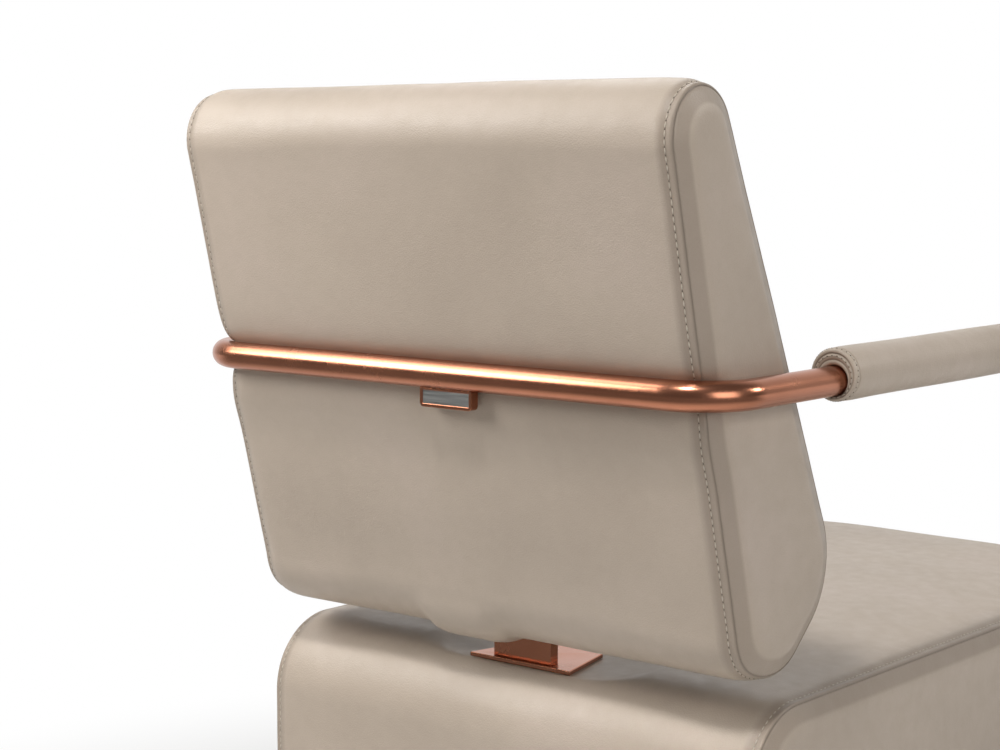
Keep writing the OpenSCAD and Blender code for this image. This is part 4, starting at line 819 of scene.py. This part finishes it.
def seat_lift(side, forward, rise, normals):
    """The sitting surface grows proud towards the front and its middle."""
    up = smooth_step(normals[..., 1], 0.1, 0.95)
    across = 1 - np.clip(np.abs(side) / SEAT_HALF, 0, 1) ** 2.4
    along = smooth_step(forward, 85, 300)
    front_fade = 1 - 0.35 * smooth_step(forward, 700, 815)
    body = 0.8 * (1 - np.clip(np.abs(side) / SEAT_HALF, 0, 1) ** 4) * (1 - smooth_step(
        -normals[..., 1], 0.4, 0.9))
    return 15.5 * across * along * up * front_fade + body + 1.6


def upholster_seat():
    mid = (SEAT_TOP + SEAT_BOTTOM) / 2
    # the underside's hub points match the top's, so the gusset closes on one line
    ends = [(SEAT_FRONT - SEAT_HUB, mid)] * 2 + [(SEAT_REAR + SEAT_HUB, mid)] * 2
    grid, distance, left, right, seam, hubs = block_grid(
        seat_rolls(1.2), seat_rolls(0.0), ends, ((8, 40, 40, 8), (48, 150, 48, 60)), SEAT_HALF, 8.0,
        lapped_edge(3.0, 13.5), pillow(6.0, 18.0), seat_lift)
    grid = settled(grid, left, right, 0.004, 2.4)
    outward = grid_normals(grid)
    soft = smooth_step(np.abs(distance), 3, 45)[None, :]
    top = smooth_step(outward[..., 2], 0.3, 0.9)
    wave = 0.7 * swell(grid, 190.0, 8, (1.0, 0.55, 1.0))
    ripples = 0.35 * swell(grid, 60.0, 9, (0.35, 1.0, 0.4))
    wave = wave + ripples * top * smooth_step(grid[..., 1], 60, 160)
    grid = grid + outward * ((wave * soft)[..., None])
    # pressed flat under the post's plate
    side, forward = grid[..., 0] - POST_SIDE, grid[..., 1] - PLATE_FORWARD
    away = np.hypot(np.maximum(np.abs(side) - PLATE_HALF[0], 0),
                    np.maximum(np.abs(forward) - PLATE_HALF[1], 0))
    over = grid[..., 2] - (PLATE_LOW + 0.0011 * away ** 2 * (1 + away / 90))
    press = np.where((outward[..., 2] > 0.2) & (away < 140), soft_plus(over, 0.5), 0)
    grid[..., 2] -= press
    grid = puckered(grid, outward, seam, distance, (12.1, 5.7, 27.0))
    weld_hubs(grid, hubs)
    # the underside stays flat, above the slide, and its hem leaves the board open
    grid[..., 2] = np.maximum(grid[..., 2], SEAT_BOTTOM + 0.05)
    inside = np.minimum(SEAT_HALF - np.abs(grid[..., 0]),
                        np.minimum(grid[..., 1] - SEAT_REAR, SEAT_FRONT - grid[..., 1]))
    low = grid[..., 2] < SEAT_BOTTOM + 8
    grid[..., 2] += np.where(low, HEM_STEP * smooth_step(inside, SEAT_HEM - 4, SEAT_HEM + 4), 0)
    # painted shade beside the seams
    painted_shade = painted_seam_shade(distance)[None, :] + np.zeros(grid.shape[:2])
    cover = block_piece("seat_leather", grid, LEATHER, painted_shade)
    raised = grid.copy()
    raised[..., 2] = np.maximum(raised[..., 2], SEAT_BOTTOM + 9)
    foam = foam_filling("seat_filling", raised, distance, hubs)
    # the stitches run over the seat and stop above its underside
    keep = seam[:, 1] > SEAT_BOTTOM + 16
    start = int(np.argmax(keep & ~np.roll(keep, 1)))
    order = [k for k in np.roll(np.arange(len(seam)), -start) if keep[k]]
    return cover, foam, [row[order] for row in stitch_rows(grid, left, right)]


# ---------- Arm pads ----------

PAD_START, PAD_LENGTH = 168.0, 408.0
PAD_LIFT = 5.0
PAD_HOLE = RAIL_RADIUS + 0.7


def pad_profile():
    """(distance along the pad, radius, share of the way from the rail's axis to the pad's axis)."""
    # the end's turned edge and laps, with radii measured from the hole
    edge = [(26, -0.4, 0), (12, -0.2, 0), (3, 0, 0), (1.2, 0.2, 0.05), (0.5, 0.7, 0.12),
            (0.2, 1.3, 0.22), (0.25, 1.9, 0.32), (0.9, 2.3, 0.40), (0.95, 2.6, 0.46),
            (0.1, 3.0, 0.54), (-0.1, 3.7, 0.64), (0.05, 4.5, 0.75), (0.3, 5.0, 0.80),
            (0.85, 5.35, 0.84), (0.85, 5.6, 0.87), (0.1, 6.0, 0.90), (-0.05, 6.8, 0.95),
            (0.3, 7.6, 1), (1.2, 8.2, 1), (2.6, 8.7, 1), (4.2, 8.9, 1), (5.4, 8.7, 1),
            (6.0, 8.2, 1), (6.6, 8.6, 1), (7.6, 9.1, 1)]
    ring = [(d, PAD_HOLE + r, share) for d, r, share in edge]
    body = [(9.5, 22.4, 1), (13, 22.6, 1), (20, 22.8, 1), (32, 22.9, 1)]
    body += [(d, 22.95, 1) for d in np.arange(46, PAD_LENGTH - 40, 9.0)]
    front = [(PAD_LENGTH - 32, 22.8, 1), (PAD_LENGTH - 22, 22.6, 1), (PAD_LENGTH - 13, 22.2, 1)]
    for angle in np.linspace(0, 88, 12):
        a = math.radians(angle)
        front.append((PAD_LENGTH - 10 + 9.6 * math.sin(a), 12 + 10 * math.cos(a), 1))
    front += [(PAD_LENGTH - 0.35, 9, 1), (PAD_LENGTH - 0.3, 5, 1), (PAD_LENGTH - 0.3, 0.02, 1)]
    return np.array(ring + body + front)


def pad_ring(side, distance, radius, share, count):
    angle = np.arange(count) * 2 * math.pi / count
    rise = RAIL_RISE + PAD_LIFT * share + radius * np.sin(angle)
    across = side * RAIL_HALF_SPAN + radius * np.cos(angle)
    forward = RAIL_FORWARD + PAD_START + distance
    return np.stack([across, np.full(count, forward), rise], -1)


def upholster_arm(name, side, seed):
    profile = pad_profile()
    count = 72
    grid = np.array([pad_ring(side, d, r, s, count) for d, r, s in profile])
    angle = np.arange(count) * 2 * math.pi / count
    away = np.stack([np.cos(angle), np.zeros(count), np.sin(angle)], -1)
    soft = smooth_step(profile[:, 0], 10, 60)
    soft = soft * (1 - smooth_step(profile[:, 0], PAD_LENGTH - 40, PAD_LENGTH - 8))
    wave = swell(grid, 120.0, seed, (1, 0.5, 1))
    grid = grid + away * ((wave * 0.35 - 0.3) * soft[:, None])[..., None]
    ripple = np.sin(angle * 17 + seed)
    close = bell(profile[:, 0], 8, 5.0) * (profile[:, 1] > 19)
    grid = grid + away * (close[:, None] * ripple[None, :] * 0.12)[..., None]
    # painted shade: dark lines in the seam round the pad's end and in the laps on its end face
    seam = bell(profile[:, 0], 6.0, 0.6) * (profile[:, 1] > 20)
    painted_lap_shade = sum(bell(profile[:, 1], RAIL_RADIUS + out, 0.3) for out in (3.15, 6.2))
    painted_shade = np.clip(0.6 * (seam + painted_lap_shade * (profile[:, 0] < 2)), 0, 1)[:, None] * np.ones((1, count))
    faces = grid_faces(len(profile), count, wrap_columns=True)
    faces.append(tuple(range(count)))
    piece = mesh_piece(name, placed(grid), faces, LEATHER)
    mark_painted_shade(piece, painted_shade)
    return cleaned(piece), [pad_ring(side, 3.2, PAD_HOLE + 8.85, 1, 120),
                            pad_ring(side, -0.15, PAD_HOLE + 4.2, 0.72, 90)]


# ---------- Footrest pad ----------

def upholster_footrest():
    """A small crowned cushion: piped seam round its foot, domed top and a drawn-in underside."""
    low, high = (np.array(c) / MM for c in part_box("footrest_pad"))
    centre, half = (low + high) / 2, (high - low) / 2
    thick = high[2] - low[2]
    count = 96
    angle = np.arange(count) * 2 * math.pi / count
    circle = np.stack([np.cos(angle), np.sin(angle)], -1)
    outline = np.sign(circle) * np.abs(circle) ** 0.42
    # (rise as a share of the thickness, share of the half width, painted shade in the piping's folds)
    section = [(0.0, 0.02, 0), (0.0, 0.4, 0), (0.0, 0.80, 0), (0.02, 0.90, 0), (0.07, 0.945, 0),
               (0.13, 0.955, 0.3), (0.155, 0.945, 0.9), (0.17, 0.965, 0.2), (0.20, 0.985, 0),
               (0.23, 0.985, 0), (0.26, 0.965, 0.2), (0.275, 0.945, 0.9), (0.30, 0.958, 0.2),
               (0.36, 0.972, 0), (0.46, 0.982, 0), (0.56, 0.975, 0), (0.66, 0.95, 0), (0.75, 0.90, 0),
               (0.83, 0.82, 0), (0.89, 0.71, 0), (0.935, 0.57, 0), (0.965, 0.40, 0), (0.985, 0.22, 0),
               (0.99, 0.02, 0)]
    rings, painted_shade = [], []
    for rise, share, fold_shade in section:
        # the sides pull in between the corners
        waist = 1 - 0.035 * np.cos(2 * angle) ** 2 * smooth_step(rise, 0.28, 0.5)
        flat = outline * half[:2] * (share * waist)[:, None]
        pucker = 0.25 * np.sin(angle * 26) * bell(rise, 0.32, 0.05)
        flat = flat * (1 + pucker / half[0])[:, None]
        rings.append(np.column_stack([flat + centre[:2], np.full(count, low[2] + rise * thick)]))
        painted_shade.append(np.full(count, fold_shade))
    points = np.array(rings).reshape(-1, 3) * MM
    faces = grid_faces(len(rings), count, wrap_columns=True)
    faces += [tuple(range(count)), tuple(range(count * (len(rings) - 1), count * len(rings)))]
    pad = mesh_piece("footrest_cushion", points, faces, LEATHER)
    mark_painted_shade(pad, painted_shade)
    return cleaned(pad)


# ---------- Topstitching ----------

def stitch_tree():
    """Beads of one length at one pitch along a line: the stitches, and on a line started half a pitch
    later the dark beads of painted shade in the needle holes between them.
    """
    tree = bpy.data.node_groups.new("topstitch", "GeometryNodeTree")
    face = tree.interface
    face.new_socket("Geometry", in_out="INPUT", socket_type="NodeSocketGeometry")
    for name in ("Pitch", "Stitch", "Thread"):
        face.new_socket(name, in_out="INPUT", socket_type="NodeSocketFloat")
    face.new_socket("Finish", in_out="INPUT", socket_type="NodeSocketMaterial")
    face.new_socket("Geometry", in_out="OUTPUT", socket_type="NodeSocketGeometry")
    add = tree.nodes.new
    given = add("NodeGroupInput")
    line = add("GeometryNodeMeshToCurve")
    spaced = add("GeometryNodeResampleCurve")
    spaced.mode = "LENGTH"
    bead = add_node(tree, "GeometryNodeMeshUVSphere", Segments=6, Rings=5, Radius=0.5)
    size = add("ShaderNodeCombineXYZ")
    shaped = add("GeometryNodeTransform")
    tangent = add("GeometryNodeInputTangent")
    turned = add("FunctionNodeAlignRotationToVector")
    turned.axis = "X"
    instances = add("GeometryNodeInstanceOnPoints")
    real = add("GeometryNodeRealizeInstances")
    smooth = add("GeometryNodeSetShadeSmooth")
    painted = add("GeometryNodeSetMaterial")
    out = add("NodeGroupOutput")
    for source, output, target, socket in (
            (given, "Geometry", line, "Mesh"), (line, "Curve", spaced, "Curve"),
            (given, "Pitch", spaced, "Length"), (given, "Stitch", size, "X"),
            (given, "Thread", size, "Y"), (given, "Thread", size, "Z"),
            (bead, "Mesh", shaped, "Geometry"), (size, "Vector", shaped, "Scale"),
            (tangent, "Tangent", turned, "Vector"), (spaced, "Curve", instances, "Points"),
            (shaped, "Geometry", instances, "Instance"), (turned, "Rotation", instances, "Rotation"),
            (instances, "Instances", real, "Geometry"), (real, "Geometry", smooth, "Geometry"),
            (smooth, "Geometry", painted, "Geometry"), (given, "Finish", painted, "Material"),
            (painted, "Geometry", out, "Geometry")):
        tree.links.new(source.outputs[output], target.inputs[socket])
    return tree


STITCHES = stitch_tree()


def started_later(row, closed, shift):
    """The row of points, starting a little further along it."""
    step = np.linalg.norm(np.diff(row, axis=0), axis=1)
    along = np.concatenate([[0], np.cumsum(step)])
    if not closed:
        return row[along >= shift]
    k = int(np.searchsorted(along, shift))
    t = (shift - along[k - 1]) / (along[k] - along[k - 1])
    first = row[k - 1] * (1 - t) + row[k] * t
    return np.concatenate([[first], row[k:], row[:k]])


def stitched(name, rows, closed, pitch, stitch, thread, finish, shift=0.0):
    """Topstitching along rows of points given in the maker's millimetres."""
    points, edges = [], []
    for row in rows:
        if shift:
            row = started_later(row, closed, shift)
        start, count = len(points), len(row)
        points += list(placed(row))
        edges += [(start + i, start + i + 1) for i in range(count - 1)]
        if closed:
            edges.append((start + count - 1, start))
    mesh = bpy.data.meshes.new(name)
    mesh.from_pydata([tuple(p) for p in points], edges, [])
    piece = shown(name, mesh)
    made = piece.modifiers.new("topstitch", "NODES")
    made.node_group = STITCHES
    given = {"Pitch": pitch * MM, "Stitch": stitch * MM, "Thread": thread * MM, "Finish": finish}
    for item in STITCHES.interface.items_tree:
        if item.in_out == "INPUT" and item.name in given:
            made[item.identifier] = given[item.name]
    return applied(piece)


# ---------- Arm rail ----------

def rail_line():
    """The rail's centre line, in millimetres: arm, bend, rear run, bend, arm."""
    half, bend = RAIL_HALF_SPAN, RAIL_BEND
    turn = [math.radians(a) for a in np.linspace(0, 90, 19)]
    right = [(-half, RAIL_FORWARD + d) for d in np.linspace(RAIL_ARM, bend, 12)[:-1]]
    right += [(-half + bend - bend * math.cos(a), RAIL_FORWARD + bend - bend * math.sin(a))
              for a in turn]
    rear = [(x, RAIL_FORWARD) for x in np.linspace(-half + bend, half - bend, 24)[1:-1]]
    left = [(-x, f) for x, f in right[::-1]]
    flat = np.array(right + rear + left)
    return np.column_stack([flat, np.full(len(flat), RAIL_RISE)])


def swept_tube(name, line, radius, count, finish):
    """A round tube along a line that stays level, closed at both ends with a small rounded edge."""
    along = np.gradient(line, axis=0)
    along /= np.linalg.norm(along, axis=1, keepdims=True)
    level = np.cross(along, [0, 0, 1.0])
    angle = np.arange(count) * 2 * math.pi / count
    last = len(line) - 1
    # (shift along the tube, radius) from the middle of an end to its rounded edge
    cap = [(0.0, 0.02), (0.0, radius - 0.8), (0.25, radius - 0.25), (0.8, radius)]

    def ring(k, size, shift=0.0):
        round_it = np.cos(angle)[:, None] * level[k] + np.sin(angle)[:, None] * np.array([0, 0, 1.0])
        return line[k] + along[k] * shift + size * round_it

    rings = [ring(0, size, shift) for shift, size in cap]
    rings += [ring(k, radius) for k in range(1, last)]
    rings += [ring(last, size, -shift) for shift, size in cap[::-1]]
    grid = np.array(rings)
    faces = grid_faces(len(grid), count, wrap_columns=True)
    return cleaned(mesh_piece(name, placed(grid), faces, finish), 0.00005)


# ---------- Hard pieces ----------

def round_low_corners(bm, radius):
    """Rounds the two lower outer corners of the badge's frame."""
    low = min(v.co.z for v in bm.verts)
    ends = [min(v.co.x for v in bm.verts), max(v.co.x for v in bm.verts)]
    edges = [e for e in bm.edges if all(v.co.z < low + 0.0022 for v in e.verts)
             and any(all(abs(v.co.x - x) < 0.0003 for v in e.verts) for x in ends)
             and e.calc_length() > 0.003]
    bmesh.ops.bevel(bm, geom=edges, offset=radius * MM, segments=6, profile=0.5, affect="EDGES")


def taper_plate(bm, slope):
    """Narrows the plate towards the front, beyond the width of the post."""
    rear = max(v.co.y for v in bm.verts)
    middle = POST_SIDE * MM
    for v in bm.verts:
        out = abs(v.co.x - middle) - (POST_HALF + 1) * MM
        if out > 0:
            inward = min(slope * (rear - v.co.y), out)
            v.co.x -= math.copysign(inward, v.co.x - middle)


BADGE_CORNER, PLATE_TAPER = 3.4, 0.24
SHARP = math.radians(34.0)


def dressed(node, finish, width):
    """A copy of a solid with merged points, flat faces joined and its sharp edges rounded."""
    bm = bmesh.new()
    bm.from_mesh(frame["nodes"][node].data)
    bmesh.ops.remove_doubles(bm, verts=bm.verts, dist=0.00001)
    bmesh.ops.dissolve_limit(bm, angle_limit=math.radians(0.4), verts=bm.verts, edges=bm.edges)
    if node == "badge_frame":
        round_low_corners(bm, BADGE_CORNER)
    if node == "post_flange":
        taper_plate(bm, PLATE_TAPER)
    mesh = bpy.data.meshes.new(node + "_finished")
    bm.to_mesh(mesh)
    bm.free()
    mesh.materials.append(finish)
    piece = shown(node + "_finished", mesh)
    mesh.polygons.foreach_set("use_smooth", [True] * len(mesh.polygons))
    mesh.set_sharp_from_angle(angle=SHARP)
    rounding = piece.modifiers.new("rounded_edges", "BEVEL")
    rounding.width = width * MM
    rounding.segments = 2
    rounding.limit_method = "ANGLE"
    rounding.angle_limit = SHARP
    rounding.harden_normals = True
    rounding.miter_outer = "MITER_ARC"
    stand_in(applied(piece), node)


BODIES = {n: body for body, names in frame["record"]["behaviour"]["bodies"].items() for n in names}
SLOTS = {row["node"]: row["material_slot"] for row in frame["record"]["subparts"]}


def stand_in(piece, node):
    """Shows the piece in place of a solid, on the same body, and hides the solid."""
    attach(piece, BODIES[node])
    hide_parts(node)
    return piece


BY_SLOT = {
    "upholstery": LEATHER, "foam": FOAM, "plywood": PLYWOOD, "copper_finish": COPPER,
    "silver_plate": SILVER, "steel": STEEL, "chromed": CHROME, "copper_pipe": PIPE,
    "black_plastic": BLACK, "white_plastic": WHITE, "lacquered_board": LACQUER,
    "dark_board": LAMINATE, "acrylic": ACRYLIC,
}

for name, node in frame["nodes"].items():
    node.data.materials.clear()
    node.data.materials.append(BY_SLOT[SLOTS[name]])

# the width of the rounded edges of each hard piece, in millimetres
ROUNDED_EDGES = {
    "backrest_post": 1.2, "post_flange": 1.0, "badge_frame": 0.7, "badge_plate": 0.2,
    "rail_standoffs": 0.3, "slide_rails": 0.5, "slide_carriages": 0.5, "release_lever": 1.0,
    "lever_pin": 0.4, "carriage_screws": 0.4, "deck": 1.5, "plinth_shell": 1.0, "toe_kick": 0.8,
    "floor_panel": 0.5, "glides": 0.8, "access_door": 1.0, "door_knob": 1.2, "door_magnet": 0.6,
    "hinge_leaves_fixed": 0.3, "hinge_leaves_moving": 0.3, "hinge_pins": 0.3, "jet_cover": 0.8,
    "jet_motor": 1.0, "waste_flange": 0.5, "waste_plug": 0.8, "overflow_rosette": 0.6,
    "mixer_body": 1.0, "mixer_cap": 0.8, "mixer_pin": 0.2, "mixer_lever": 0.4, "spout_base": 1.0,
    "spout": 0.4, "button_bezel": 0.8, "air_button": 0.8, "control_box": 1.5, "footrest_socket": 0.8,
    "footrest_stem": 0.6, "basin": 1.0, "waste_trap": 0.8, "jet_impeller": 0.4, "seat_board": 0.8,
    "backrest_board": 0.8, "board_bolts": 0.3, "foot_bolts": 0.3, "rail_screws": 0.2,
    "slide_screws": 0.3, "rail_plugs": 0.5, "supply_pipes": 0.3, "outlet_pipe": 0.3, "air_tube": 0.2,
    "motor_lead": 0.2,
}
OWN_FINISH = {"rail_standoffs": COPPER, "glides": RUBBER}
for node, width in ROUNDED_EDGES.items():
    dressed(node, OWN_FINISH.get(node, BY_SLOT[SLOTS[node]]), width)


def upholstered(piece, node):
    stand_in(piece, node)


def sewn(name, rows, closed, pitch=6.6, stitch=4.9, thread=1.15):
    """Rows of stitches with dark beads of painted shade in the needle holes between them, on the seat's
    body.
    """
    threads = stitched(name + "_thread", rows, closed, pitch, stitch, thread, THREAD)
    holes_and_hole_shade = stitched(name + "_holes", rows, closed, pitch, 1.3, 1.0, HOLE_SHADE, shift=pitch / 2)
    for piece in (threads, holes_and_hole_shade):
        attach(piece, "seat")


back, back_foam, back_rows = upholster_back()
upholstered(back, "backrest_cover")
upholstered(back_foam, "backrest_foam")
sewn("backrest_topstitch", back_rows, True)

seat, seat_foam, seat_rows = upholster_seat()
upholstered(seat, "seat_cover")
upholstered(seat_foam, "seat_foam")
sewn("seat_topstitch", seat_rows, False)

for name, side, seed in (("left", 1, 21), ("right", -1, 22)):
    pad, pad_rows = upholster_arm(f"arm_{name}_leather", side, seed)
    upholstered(pad, f"arm_pad_{name}")
    sewn(f"arm_{name}_topstitch", pad_rows, True, 4.8, 3.5, 0.95)

upholstered(upholster_footrest(), "footrest_pad")
stand_in(swept_tube("copper_rail", rail_line(), RAIL_RADIUS, 48, COPPER), "arm_rail")
